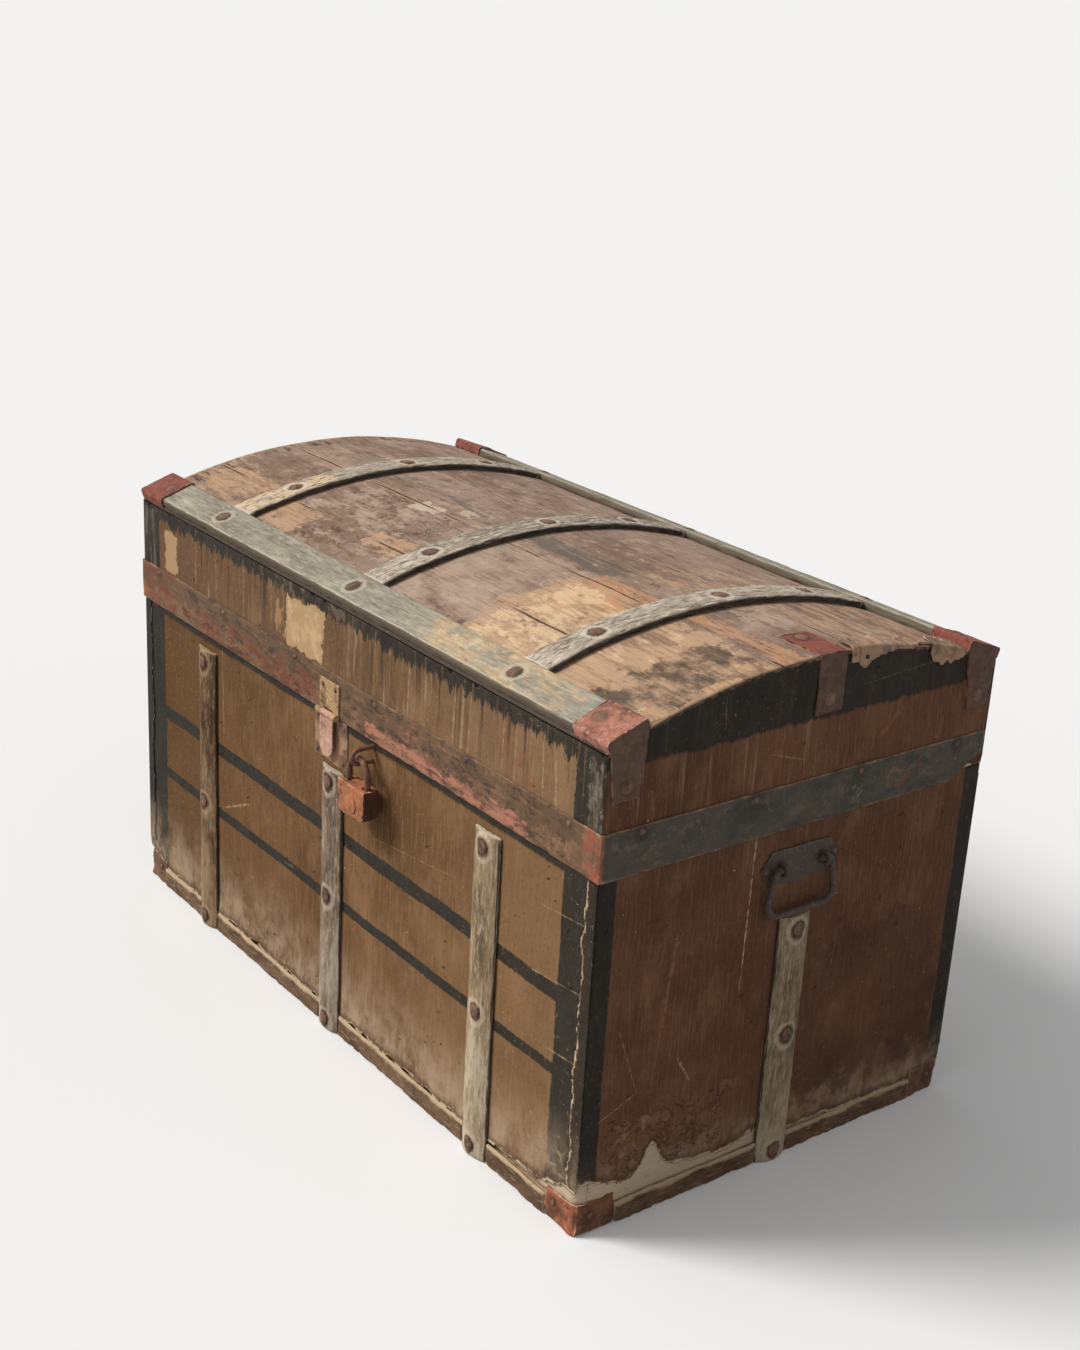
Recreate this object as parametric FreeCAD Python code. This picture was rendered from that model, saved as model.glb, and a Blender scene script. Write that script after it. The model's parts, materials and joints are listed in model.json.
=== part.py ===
import FreeCAD, Part
import math
import os

# Dome top trunk, in millimetres. X runs along the length, the front faces -Y and Z rises from the floor.
# The origin is the middle of the base on the floor.

# Boards of the chest and the lid
chest_length = 850.0
chest_depth = 470.0
seam_height = 366.0
lid_side_height = 108.0
dome_rise = 44.0
wall_thickness = 12.0
base_thickness = 18.0
stave_thickness = 9.0
boards_per_wall = 3
base_board_count = 3
stave_count = 5

# Canvas and the sheet iron band that hangs over the seam
canvas = 1.2
seam_gap = 0.5
band_gap = 0.8
band_sheet = 2.0
band_height = 45.0
band_drop = 10.0
band_slope_length = 48.0
band_slope_rise = 24.0

# Slats, hoops and battens
slat_width = 40.0
slat_edge = 5.0
slat_crown = 4.0
slat_inset = 155.0
outer_slat_gap = 16.0
middle_slat_gap = 5.0
hoop_width = 38.0
hoop_thickness = 7.0
hoop_shoulder = 3.0
batten_width = 42.0
batten_thickness = 9.0
batten_bevel = 2.0
batten_inset = 20.0
hoop_end_gap = 0.4

# Irons at the edges
sheet_iron = 1.6
cap_leg = 44.0
cap_height = 32.0
binding_height = 22.0
binding_thickness = 3.0
binding_bevel = 1.5
clamp_reach = 48.0
clamp_tongue = 54.0
clamp_tip_width = 28.0
dome_clamp_width = 34.0
dome_clamp_reach = 54.0
dome_clamp_drop = 58.0
dome_clamp_offset = 14.0

# Nails
nail_head = 6.5
tack_head = 3.0
head_height = 1.3
shank_radius = 1.2
shank_bite = 7.0
nail_inset = 13.0
slat_nail_height = 158.0
slat_nail_share = 0.53
hoop_nail_places = (-128.0, 18.0, 128.0)
band_tack_count = 6
end_band_tack_count = 4
band_tack_inset = 40.0

# End handles
handle_drop = 38.0
handle_plate_length = 100.0
handle_plate_height = 34.0
handle_plate_shoulder = 14.0
handle_sheet = 2.0
eye_spacing = 52.0
eye_wire = 2.0
eye_clearance = 0.5
bail_wire = 3.0
bail_stand_off = 2.0
bail_drop = 46.0
bail_half_width = 45.0
bail_shoulder = 8.0
bail_tail = 5.0
bail_bend = 6.0
bail_corner = 14.0
bail_slat_gap = 4.0
staple_bite = 9.0

# Lock plate, hasp and padlock
lock_offset = -6.0
lock_plate_width = 62.0
lock_plate_height = 50.0
lock_plate_sheet = 2.0
lock_plate_gap = 1.5
hasp_width = 36.0
hasp_plate_height = 30.0
hasp_sheet = 1.6
hasp_strap_width = 24.0
hasp_strap_length = 34.0
hasp_barrel = 3.4
hasp_pin_radius = 1.6
hasp_pin_rise = 2.0
padlock_beside = 47.0
padlock_staple_wire = 2.5
padlock_staple_gap = 15.0
padlock_staple_out = 24.0
padlock_staple_drop = 4.0
shackle_wire = 3.2
shackle_half_width = 16.5
shackle_rise = 27.0
shackle_depth = 9.0
shackle_clearance = 0.4
heel_radius = 4.2
heel_half_width = 2.6
rivet_depth = 6.0
rivet_radius = 1.5
case_width = 47.0
case_height = 33.0
case_thickness = 18.0
case_corner = 7.0
toe_slot_room = 2.4

# Rear hinges
hinge_inset = 35.0
hinge_width = 54.0
hinge_leaf_height = 38.0
hinge_sheet = 2.2
hinge_barrel = 5.5
hinge_pin_radius = 2.5
hinge_stand_off = 0.5
hinge_centre_width = 17.0
stop_tab_reach = 15.0
stop_gap = 0.3
open_angle = math.radians(100.0)

# Running clearances
pin_clearance = 0.06
knuckle_gap = 0.4
barrel_gap = 0.8

# Levels and faces that several pieces share
half_length = chest_length / 2
half_depth = chest_depth / 2
lid_cover = canvas + band_gap
chest_face = canvas
edge_height = seam_height + lid_side_height
dome_radius = (half_depth ** 2 + dome_rise ** 2) / (2 * dome_rise)
dome_centre = edge_height + dome_rise - dome_radius
stave_top = dome_radius - canvas
stave_underside = stave_top - stave_thickness
band_bottom = seam_height - band_drop
band_top = band_bottom + band_height
lid_end = half_length + lid_cover
slat_pitch = half_length - slat_inset
slat_thickness = slat_edge + slat_crown
batten_angle = math.asin((half_depth - batten_inset) / dome_radius)
hoop_angle = batten_angle - (batten_width / 2 + hoop_end_gap) / dome_radius
hinge_offset = half_length - hinge_inset
hinge_axis_y = half_depth + lid_cover + hinge_stand_off + hinge_barrel
lock_plate_top = band_bottom - lock_plate_gap
lock_plate_bottom = lock_plate_top - lock_plate_height
outer_slat_top = band_bottom - outer_slat_gap
middle_slat_top = lock_plate_bottom - middle_slat_gap
handle_height = band_bottom - handle_drop
bail_axis_out = handle_sheet + bail_stand_off + bail_wire
eye_gap = 2 * (bail_wire + eye_clearance + eye_wire)
end_slat_top = handle_height - bail_drop - bail_wire - bail_slat_gap
padlock_offset = lock_offset + lock_plate_width / 2 + padlock_beside
staple_centre = band_bottom - padlock_staple_drop - padlock_staple_wire - padlock_staple_gap / 2
staple_floor = staple_centre - padlock_staple_gap / 2 + padlock_staple_wire
shackle_top = staple_floor + shackle_clearance + shackle_wire
padlock_out = padlock_staple_out - padlock_staple_gap / 2
case_top = shackle_top - shackle_rise

V = FreeCAD.Vector
ORIGIN = V(0, 0, 0)
ALONG_X = V(1, 0, 0)
ALONG_Y = V(0, 1, 0)
UP = V(0, 0, 1)
DOME_AXIS = V(0, 0, dome_centre)
FRONT_TURN = 0
RIGHT_TURN = 90
REAR_TURN = 180
LEFT_TURN = 270


def block(x0, x1, y0, y1, z0, z1):
    """Rectangular solid between two corners."""
    return Part.makeBox(x1 - x0, y1 - y0, z1 - z0, V(x0, y0, z0))


def rod(start, end, radius):
    """Round bar between two points."""
    return Part.makeCylinder(radius, (end - start).Length, start, end - start)


def prism(points, run):
    """Flat outline drawn out along a vector."""
    return Part.Face(Part.makePolygon(points + points[:1])).extrude(run)


def fuse_all(shapes):
    """One clean solid from shapes that overlap or share faces."""
    return shapes[0].fuse(shapes[1:]).removeSplitter()


def turned(shape, degrees, centre=ORIGIN, axis=UP):
    """Copy of a shape turned about an axis."""
    copy = shape.copy()
    copy.rotate(centre, axis, degrees)
    return copy


def moved(shape, x, y, z):
    """Copy of a shape moved by an offset."""
    copy = shape.copy()
    copy.translate(V(x, y, z))
    return copy


def mirrored(shape, normal):
    """Copy of a shape on the other side of the trunk's middle."""
    return shape.mirror(ORIGIN, normal)


def on_side(shape, turn, cover):
    """Piece drawn against the plane y = 0 and facing -Y, set on one side of the trunk over its cover."""
    across = half_depth if turn in (FRONT_TURN, REAR_TURN) else half_length
    return turned(moved(shape, 0, -across - cover, 0), turn)


def rounded_path(points, radii):
    """Wire through the points, with every inner corner rounded."""
    edges = []
    start = points[0]
    for before, corner, after, radius in zip(points, points[1:], points[2:], radii):
        back = (before - corner).normalize()
        on = (after - corner).normalize()
        half = back.getAngle(on) / 2
        first = corner + back * (radius / math.tan(half))
        last = corner + on * (radius / math.tan(half))
        middle = corner + (back + on).normalize() * (radius / math.sin(half) - radius)
        edges.append(Part.makeLine(start, first))
        edges.append(Part.Arc(first, middle, last).toShape())
        start = last
    edges.append(Part.makeLine(start, points[-1]))
    return Part.Wire(edges)


def bent_bar(path, radius):
    """Round bar that follows a wire."""
    first = path.Edges[0]
    start = first.valueAt(first.FirstParameter)
    ring = Part.makeCircle(radius, start, first.tangentAt(first.FirstParameter))
    return Part.Solid(path.makePipeShell([Part.Wire(ring)], True, False))


def dome(radius, x0, x1):
    """Round solid about the dome's axis."""
    return Part.makeCylinder(radius, x1 - x0, V(x0, 0, dome_centre), ALONG_X)


def on_arc(radius, angle, x):
    """Point on a circle about the dome's axis, at an angle from the crest towards the rear."""
    return V(x, radius * math.sin(angle), dome_centre + radius * math.cos(angle))


def arch(inner, outer, start, end, x0, x1):
    """Curved slab between two radii and two angles."""
    middle = (start + end) / 2
    top = Part.Arc(on_arc(outer, start, x0), on_arc(outer, middle, x0), on_arc(outer, end, x0))
    under = Part.Arc(on_arc(inner, end, x0), on_arc(inner, middle, x0), on_arc(inner, start, x0))
    sides = [
        Part.makeLine(on_arc(outer, end, x0), on_arc(inner, end, x0)),
        Part.makeLine(on_arc(inner, start, x0), on_arc(outer, start, x0)),
    ]
    outline = Part.Wire([top.toShape(), sides[0], under.toShape(), sides[1]])
    return Part.Face(outline).extrude(V(x1 - x0, 0, 0))


def nail(foot, outward, head_radius, reach):
    """Nail with a domed head that stands on a surface, and a shank that goes in."""
    crown = V(0, 0, head_height)
    shoulder = V(head_radius * math.sqrt(0.5), 0, head_height * math.sqrt(0.5))
    rim = V(head_radius, 0, 0)
    outline = Part.Wire([
        Part.Arc(crown, shoulder, rim).toShape(),
        Part.makeLine(rim, V(shank_radius, 0, 0)),
        Part.makeLine(V(shank_radius, 0, 0), V(shank_radius, 0, -reach)),
        Part.makeLine(V(shank_radius, 0, -reach), V(0, 0, -reach)),
        Part.makeLine(V(0, 0, -reach), crown),
    ])
    body = Part.Face(outline).revolve(ORIGIN, UP, 360)
    body.Placement = FreeCAD.Placement(foot, FreeCAD.Rotation(UP, outward))
    return body


def face_nail(along, height, thickness, head_radius):
    """Nail through a piece of a given thickness that lies against the plane y = 0 and faces -Y."""
    foot = V(along, -thickness, height)
    return nail(foot, V(0, -1, 0), head_radius, thickness + canvas + shank_bite)


def dome_nail(radius, angle, x, head_radius):
    """Nail driven straight down into the dome."""
    foot = on_arc(radius, angle, x)
    return nail(foot, foot - on_arc(0, 0, x), head_radius, radius - stave_top + shank_bite)


def base_boards():
    """Planks of the base, side by side."""
    width = chest_depth / base_board_count
    return [
        block(-half_length, half_length, n * width - half_depth, (n + 1) * width - half_depth,
              0, base_thickness)
        for n in range(base_board_count)
    ]


def stacked_boards(x0, x1, y0, y1):
    """Boards of one chest wall, one above the other."""
    height = (seam_height - base_thickness) / boards_per_wall
    return [
        block(x0, x1, y0, y1, base_thickness + n * height, base_thickness + (n + 1) * height)
        for n in range(boards_per_wall)
    ]


def long_wall():
    """Front wall of the chest."""
    return Part.makeCompound(
        stacked_boards(-half_length, half_length, -half_depth, wall_thickness - half_depth))


def end_wall():
    """Right wall of the chest, between the long walls."""
    inner = half_depth - wall_thickness
    return Part.makeCompound(stacked_boards(half_length - wall_thickness, half_length, -inner, inner))


def cover_ring(cover, z0, z1):
    """Canvas glued round the four sides."""
    outer = block(-half_length - cover, half_length + cover, -half_depth - cover, half_depth + cover, z0, z1)
    return outer.cut(block(-half_length, half_length, -half_depth, half_depth, z0, z1))


def slat(top):
    """Upright slat with a rounded face."""
    side = slat_width / 2
    edge = V(-side, -slat_edge, 0)
    far_edge = V(side, -slat_edge, 0)
    outline = Part.Wire([
        Part.makeLine(V(side, 0, 0), V(-side, 0, 0)),
        Part.makeLine(V(-side, 0, 0), edge),
        Part.Arc(edge, V(0, -slat_thickness, 0), far_edge).toShape(),
        Part.makeLine(far_edge, V(side, 0, 0)),
    ])
    return Part.Face(outline).extrude(V(0, 0, top))


def slat_nails(top):
    """Nails at the head, middle and foot of a slat."""
    heights = (top - nail_inset, min(slat_nail_height, slat_nail_share * top), nail_inset)
    return [face_nail(0, height, slat_thickness, nail_head) for height in heights]


def binding_run(start, end):
    """Length of edge binding with a bevelled upper edge."""
    outline = [
        V(start, 0, 0),
        V(start, -binding_thickness, 0),
        V(start, -binding_thickness, binding_height - binding_bevel),
        V(start, binding_bevel - binding_thickness, binding_height),
        V(start, 0, binding_height),
    ]
    return prism(outline, V(end - start, 0, 0))


def side_binding(half_side, slat_places):
    """Binding along one side, cut at the slats and the corner caps."""
    stops = [-half_side - canvas + cap_leg]
    for place in slat_places:
        stops += [place - slat_width / 2, place + slat_width / 2]
    stops.append(half_side + canvas - cap_leg)
    return [binding_run(start, end) for start, end in zip(stops[::2], stops[1::2])]


def base_cap():
    """Iron angle round the right front bottom corner."""
    corner_x = half_length + chest_face
    corner_y = half_depth + chest_face
    outer = block(corner_x - cap_leg, corner_x + sheet_iron, -corner_y - sheet_iron, cap_leg - corner_y,
                  0, cap_height)
    inner = block(corner_x - cap_leg, corner_x, -corner_y, cap_leg - corner_y, 0, cap_height)
    return outer.cut(inner)


def base_cap_nails():
    """Small nails in the two faces of a corner cap."""
    height = cap_height - nail_inset
    front = face_nail(half_length + canvas - cap_leg + nail_inset, height, sheet_iron, tack_head)
    side = face_nail(nail_inset - half_depth - canvas + tack_head, height, sheet_iron, tack_head)
    return [on_side(front, FRONT_TURN, chest_face), on_side(side, RIGHT_TURN, chest_face)]


def staple(gap, out, wire, bite):
    """Bent staple whose legs are driven in at y = 0, one above the other, and whose loop faces -Y."""
    bend = out - gap / 2
    lower = V(0, -bend, -gap / 2)
    upper = V(0, -bend, gap / 2)
    path = Part.Wire([
        Part.makeLine(V(0, bite, -gap / 2), lower),
        Part.Arc(lower, V(0, -out, 0), upper).toShape(),
        Part.makeLine(upper, V(0, bite, gap / 2)),
    ])
    return bent_bar(path, wire)


def handle_plate():
    """Iron plate with pointed ears that backs an end handle."""
    tip = handle_plate_length / 2
    neck = tip - handle_plate_shoulder
    side = handle_plate_height / 2
    outline = [
        V(-tip, 0, handle_height),
        V(-neck, 0, handle_height + side),
        V(neck, 0, handle_height + side),
        V(tip, 0, handle_height),
        V(neck, 0, handle_height - side),
        V(-neck, 0, handle_height - side),
    ]
    return prism(outline, V(0, -handle_sheet, 0))


def handle_eyes():
    """Two staples that hold the bail."""
    eye = staple(eye_gap, bail_axis_out + eye_gap / 2, eye_wire, staple_bite)
    return [moved(eye, side * eye_spacing / 2, 0, handle_height) for side in (-1, 1)]


def handle_nails():
    """Small nails in the ears of a handle plate."""
    along = handle_plate_length / 2 - handle_plate_shoulder / 2
    return [face_nail(side * along, handle_height, handle_sheet, tack_head) for side in (-1, 1)]


def bail():
    """Wire handle that hangs from its two eyes."""
    tail = eye_spacing / 2 - bail_tail
    shoulder = eye_spacing / 2 + bail_shoulder
    places = [
        (-tail, 0),
        (-shoulder, 0),
        (-bail_half_width, -bail_drop),
        (bail_half_width, -bail_drop),
        (shoulder, 0),
        (tail, 0),
    ]
    points = [V(x, -bail_axis_out, handle_height + z) for x, z in places]
    path = rounded_path(points, (bail_bend, bail_corner, bail_corner, bail_bend))
    return bent_bar(path, bail_wire)


def lock_plate():
    """Plain iron plate under the hasp."""
    side = lock_plate_width / 2
    return block(lock_offset - side, lock_offset + side, -lock_plate_sheet, 0,
                 lock_plate_bottom, lock_plate_top)


def lock_plate_nails():
    """Small nails in the corners of the lock plate."""
    inset = 2 * tack_head
    along = lock_plate_width / 2 - inset
    heights = (lock_plate_bottom + inset, lock_plate_top - inset)
    return [
        face_nail(lock_offset + side * along, height, lock_plate_sheet, tack_head)
        for side in (-1, 1) for height in heights
    ]


def padlock_staple():
    """Staple in the chest front that carries the padlock."""
    loop = staple(padlock_staple_gap, padlock_staple_out, padlock_staple_wire, staple_bite)
    return moved(loop, padlock_offset, 0, staple_centre)


def hasp_pin_place(along):
    """Point on the hasp's pin, measured from the front of the band."""
    return V(lock_offset + along, -hasp_barrel - knuckle_gap, band_bottom + hasp_pin_rise)


def hasp_barrel_length(start, end):
    """One knuckle of the hasp's hinge."""
    return rod(hasp_pin_place(start), hasp_pin_place(end), hasp_barrel)


def hasp_bore():
    """Hole for the hasp's pin through every knuckle."""
    reach = hasp_width / 2
    return rod(hasp_pin_place(-reach), hasp_pin_place(reach), hasp_pin_radius + pin_clearance)


def hasp_plate():
    """Plate on the band with the outer knuckles of the hasp's hinge."""
    outer = hasp_width / 2
    inner = hasp_strap_width / 2 - hasp_barrel + knuckle_gap
    pin = hasp_pin_place(0)
    low = pin.z + hasp_barrel + barrel_gap
    plate = block(lock_offset - outer, lock_offset + outer, -hasp_sheet, 0, low, low + hasp_plate_height)
    pieces = [plate]
    for start, end in ((-outer, -inner), (inner, outer)):
        pieces.append(hasp_barrel_length(start, end))
        pieces.append(block(lock_offset + start, lock_offset + end, -hasp_sheet, 0, pin.z, low))
    return fuse_all(pieces).cut(hasp_bore())


def hasp_plate_nails():
    """Small nails that hold the hasp's plate on the band."""
    low = hasp_pin_place(0).z + hasp_barrel + barrel_gap
    along = hasp_width / 2 - 2 * tack_head
    height = low + hasp_plate_height - 2 * tack_head
    return [face_nail(lock_offset + side * along, height, hasp_sheet, tack_head) for side in (-1, 1)]


def hasp_strap():
    """Strap with a rounded end that hangs over the lock plate."""
    half = hasp_strap_width / 2
    knuckle = half - hasp_barrel
    pin = hasp_pin_place(0)
    face = pin.y - hasp_sheet / 2
    low = pin.z - hasp_strap_length
    wide_top = pin.z - hasp_barrel - barrel_gap
    leaf = block(lock_offset - half, lock_offset + half, face, face + hasp_sheet, low, wide_top)
    neck = block(lock_offset - knuckle, lock_offset + knuckle, face, face + hasp_sheet, low, pin.z)
    tip = rod(V(lock_offset, face, low), V(lock_offset, face + hasp_sheet, low), half)
    barrel = hasp_barrel_length(-knuckle, knuckle)
    return fuse_all([barrel, neck, leaf, tip]).cut(hasp_bore())


def hasp_pin():
    """Pin of the hasp's hinge."""
    reach = hasp_width / 2
    return rod(hasp_pin_place(-reach), hasp_pin_place(reach), hasp_pin_radius)


def heel_place(across):
    """Point on the rivet that joins the padlock's case and shackle."""
    return V(padlock_offset - shackle_half_width, across - padlock_out, case_top - rivet_depth)


def shackle():
    """Bent bar of the padlock, with a flat eye at the heel where the rivet passes."""
    left = padlock_offset - shackle_half_width
    right = padlock_offset + shackle_half_width
    bend = shackle_top - shackle_half_width
    toe = V(right, -padlock_out, case_top - shackle_depth)
    shoulder = V(right, -padlock_out, bend)
    far_shoulder = V(left, -padlock_out, bend)
    path = Part.Wire([
        Part.makeLine(toe, shoulder),
        Part.Arc(shoulder, V(padlock_offset, -padlock_out, shackle_top), far_shoulder).toShape(),
        Part.makeLine(far_shoulder, heel_place(0)),
    ])
    heel = rod(heel_place(-heel_half_width), heel_place(heel_half_width), heel_radius)
    bore = rod(heel_place(-shackle_wire), heel_place(shackle_wire), rivet_radius + pin_clearance)
    return fuse_all([bent_bar(path, shackle_wire), heel]).cut(bore)


def padlock_case():
    """Case of the padlock, open at the heel and slotted for the toe of the shackle."""
    half = case_width / 2
    room = shackle_wire + shackle_clearance
    heel_room = heel_radius + shackle_clearance
    bottom = case_top - case_height
    body = block(padlock_offset - half, padlock_offset + half, -padlock_out - case_thickness / 2,
                 case_thickness / 2 - padlock_out, bottom, case_top)
    lower = [e for e in body.Edges if abs(e.tangentAt(0).y) > 0.5 and e.CenterOfMass.z < bottom + case_corner]
    body = body.makeFillet(case_corner, lower)
    heel_x = padlock_offset - shackle_half_width
    toe_x = padlock_offset + shackle_half_width
    heel_notch = block(padlock_offset - half, heel_x + heel_room, -padlock_out - room, room - padlock_out,
                       case_top - rivet_depth - heel_room, case_top)
    toe_slot = block(toe_x - room - toe_slot_room, toe_x + room, -padlock_out - room, room - padlock_out,
                     case_top - shackle_depth - room, case_top)
    half_case = case_thickness / 2
    bore = rod(heel_place(-half_case), heel_place(half_case), rivet_radius)
    return body.cut(heel_notch).cut(toe_slot).cut(bore)


def padlock_rivet():
    """Rivet through the case and the heel of the shackle."""
    half_case = case_thickness / 2
    return rod(heel_place(-half_case), heel_place(half_case), rivet_radius)


def hinge_point(along, y=0.0, z=0.0):
    """Point near a hinge, measured from the middle of its pin."""
    return V(along, hinge_axis_y + y, seam_height + z)


def hinge_barrel_length(start, end):
    """One knuckle of a rear hinge."""
    return rod(hinge_point(start), hinge_point(end), hinge_barrel)


def hinge_bore():
    """Hole for a hinge pin through every knuckle."""
    reach = hinge_width / 2
    return rod(hinge_point(-reach), hinge_point(reach), hinge_pin_radius + pin_clearance)


def hinge_pin():
    """Pin of a rear hinge."""
    reach = hinge_width / 2
    return rod(hinge_point(-reach), hinge_point(reach), hinge_pin_radius)


def hinge_chest_leaf():
    """Lower leaf with the two outer knuckles."""
    outer = hinge_width / 2
    inner = hinge_centre_width / 2 + knuckle_gap
    back = half_depth + chest_face
    face = back + hinge_sheet
    top = seam_height - hinge_barrel - barrel_gap
    pieces = [block(-outer, outer, back, face, top - hinge_leaf_height, top)]
    for start, end in ((-outer, -inner), (inner, outer)):
        pieces.append(hinge_barrel_length(start, end))
        pieces.append(block(start, end, back, face, top, seam_height))
    return fuse_all(pieces).cut(hinge_bore())


def hinge_lid_leaf():
    """Upper leaf with the middle knuckle and the tab that stops the lid when it is open."""
    outer = hinge_width / 2
    inner = hinge_centre_width / 2
    back = half_depth + lid_cover
    face = back + hinge_sheet
    low = seam_height + hinge_barrel + barrel_gap
    plate = block(-outer, outer, back, face, low, low + hinge_leaf_height)
    neck = block(-inner, inner, back, face, seam_height, low)
    past_level = open_angle - math.pi / 2
    chest_leaf_out = hinge_axis_y - half_depth - chest_face - hinge_sheet
    tip_out = stop_tab_reach * math.sin(past_level)
    half_tab = (chest_leaf_out - stop_gap - tip_out) / math.cos(past_level)
    tab = block(-inner, inner, hinge_axis_y, hinge_axis_y + stop_tab_reach,
                seam_height - half_tab, seam_height + half_tab)
    return fuse_all([hinge_barrel_length(-inner, inner), plate, neck, tab]).cut(hinge_bore())


def hinge_leaf_nails(height):
    """Three small nails in a hinge leaf, facing -Y."""
    along = hinge_width / 2 - 2 * tack_head
    return [face_nail(place, height, hinge_sheet, tack_head) for place in (-along, 0, along)]


def lid_long_board():
    """Front board of the lid, bevelled to the dome."""
    board = block(-half_length, half_length, -half_depth, wall_thickness - half_depth,
                  seam_height, edge_height + dome_rise)
    return board.common(dome(stave_underside, -half_length, half_length))


def lid_end_board():
    """Arched right end board of the lid."""
    inner = half_depth - wall_thickness
    board = block(half_length - wall_thickness, half_length, -inner, inner,
                  seam_height, edge_height + dome_rise)
    return board.common(dome(stave_underside, -half_length, half_length))


def dome_limits(width, x_reach):
    """Space over the trunk out to a depth from the middle."""
    return block(-x_reach, x_reach, -width, width, seam_height, edge_height + 2 * dome_rise)


def staves():
    """Lengthwise boards that make the dome."""
    reach = math.asin(half_depth / stave_underside)
    step = 2 * reach / stave_count
    limits = dome_limits(half_depth, half_length)
    return [
        arch(stave_underside, stave_top, n * step - reach, (n + 1) * step - reach,
             -half_length, half_length).common(limits)
        for n in range(stave_count)
    ]


def dome_canvas():
    """Canvas over the dome."""
    width = half_depth + lid_cover
    reach = math.asin(width / stave_top)
    sheet = arch(stave_top, dome_radius, -reach, reach, -lid_end, lid_end)
    return sheet.common(dome_limits(width, lid_end))


def lid_canvas():
    """Canvas round the sides of the lid, up to the dome."""
    ring = cover_ring(lid_cover, seam_height + seam_gap, edge_height + dome_rise)
    return ring.common(dome(stave_top, -lid_end, lid_end))


def lid_band():
    """Sheet iron band round the front and the ends, cut away towards the rear."""
    inside = half_depth + lid_cover
    outside = inside + band_sheet
    front = block(-lid_end - band_sheet, lid_end + band_sheet, -outside, -inside, band_bottom, band_top)
    outline = [
        V(lid_end, -outside, band_bottom),
        V(lid_end, half_depth - band_slope_length, band_bottom),
        V(lid_end, half_depth, band_bottom + band_slope_rise),
        V(lid_end, half_depth, band_top),
        V(lid_end, -outside, band_top),
    ]
    right = prism(outline, V(band_sheet, 0, 0))
    return fuse_all([front, right, mirrored(right, ALONG_X)])


def band_tacks():
    """Small nails along the front and the ends of the band."""
    height = band_top - 2 * tack_head
    front_reach = half_length - band_tack_inset
    front_step = 2 * front_reach / (band_tack_count - 1)
    end_reach = half_depth - band_tack_inset
    end_step = 2 * end_reach / (end_band_tack_count - 1)
    pieces = [
        on_side(face_nail(n * front_step - front_reach, height, band_sheet, tack_head), FRONT_TURN, lid_cover)
        for n in range(band_tack_count)
    ]
    for n in range(end_band_tack_count):
        tack = face_nail(n * end_step - end_reach, height, band_sheet, tack_head)
        pieces += [on_side(tack, turn, lid_cover) for turn in (LEFT_TURN, RIGHT_TURN)]
    return pieces


def batten_blank(growth, x0, x1):
    """Bevelled bar along the crest, larger by a growth on its sides and top."""
    side = batten_width / 2 + growth
    foot = dome_centre + dome_radius - batten_thickness
    top = dome_centre + dome_radius + batten_thickness + growth
    outline = [
        V(x0, -side, foot),
        V(x0, -side, top - batten_bevel),
        V(x0, batten_bevel - side, top),
        V(x0, side - batten_bevel, top),
        V(x0, side, top - batten_bevel),
        V(x0, side, foot),
    ]
    return prism(outline, V(x1 - x0, 0, 0)).cut(dome(dome_radius, x0, x1))


def to_front_edge(shape):
    """Piece drawn on the crest, turned about the dome's axis to the front batten's place."""
    return turned(shape, math.degrees(batten_angle), DOME_AXIS, ALONG_X)


def front_batten():
    """Flat batten along the front edge of the dome."""
    return to_front_edge(batten_blank(0, -lid_end, lid_end))


def clamp_tongue_centre():
    """Middle of the batten's foot, where the tongue of a corner clamp starts."""
    return on_arc(dome_radius, -batten_angle, lid_end)


def corner_clamp():
    """Iron folded over the right end of the front batten and down the end of the lid."""
    shell = batten_blank(sheet_iron, lid_end - clamp_reach, lid_end + sheet_iron)
    hood = to_front_edge(shell.cut(batten_blank(0, lid_end - clamp_reach, lid_end)))
    foot = clamp_tongue_centre()
    half_top = batten_width / 2 * math.cos(batten_angle)
    slope = half_top * math.tan(batten_angle)
    half_tip = clamp_tip_width / 2
    outline = [
        V(lid_end, foot.y - half_top, foot.z - slope + sheet_iron),
        V(lid_end, foot.y + half_top, foot.z + slope + sheet_iron),
        V(lid_end, foot.y + half_tip, foot.z - clamp_tongue),
        V(lid_end, foot.y - half_tip, foot.z - clamp_tongue),
    ]
    return fuse_all([hood, prism(outline, V(sheet_iron, 0, 0))])


def corner_clamp_nails():
    """Nails through the top and the tongue of a corner clamp."""
    foot = clamp_tongue_centre()
    top = dome_nail(dome_radius + batten_thickness + sheet_iron, -batten_angle,
                    lid_end - clamp_reach + nail_inset, nail_head)
    place = V(lid_end + sheet_iron, foot.y, foot.z - clamp_tongue + nail_inset)
    side = nail(place, ALONG_X, nail_head, sheet_iron + lid_cover + shank_bite)
    return [top, side]


def dome_clamp():
    """Iron folded over the right end of the dome, a little behind the crest."""
    low, high = (dome_clamp_offset + side * dome_clamp_width / 2 for side in (-1, 1))
    outer = dome_radius + sheet_iron
    top = arch(dome_radius, outer, low / dome_radius, high / dome_radius, lid_end - dome_clamp_reach, lid_end)
    crest = dome_centre + outer
    leg = block(lid_end, lid_end + sheet_iron, low, high, crest - dome_clamp_drop, crest)
    leg = leg.common(dome(outer, lid_end, lid_end + sheet_iron))
    return fuse_all([top, leg])


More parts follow.
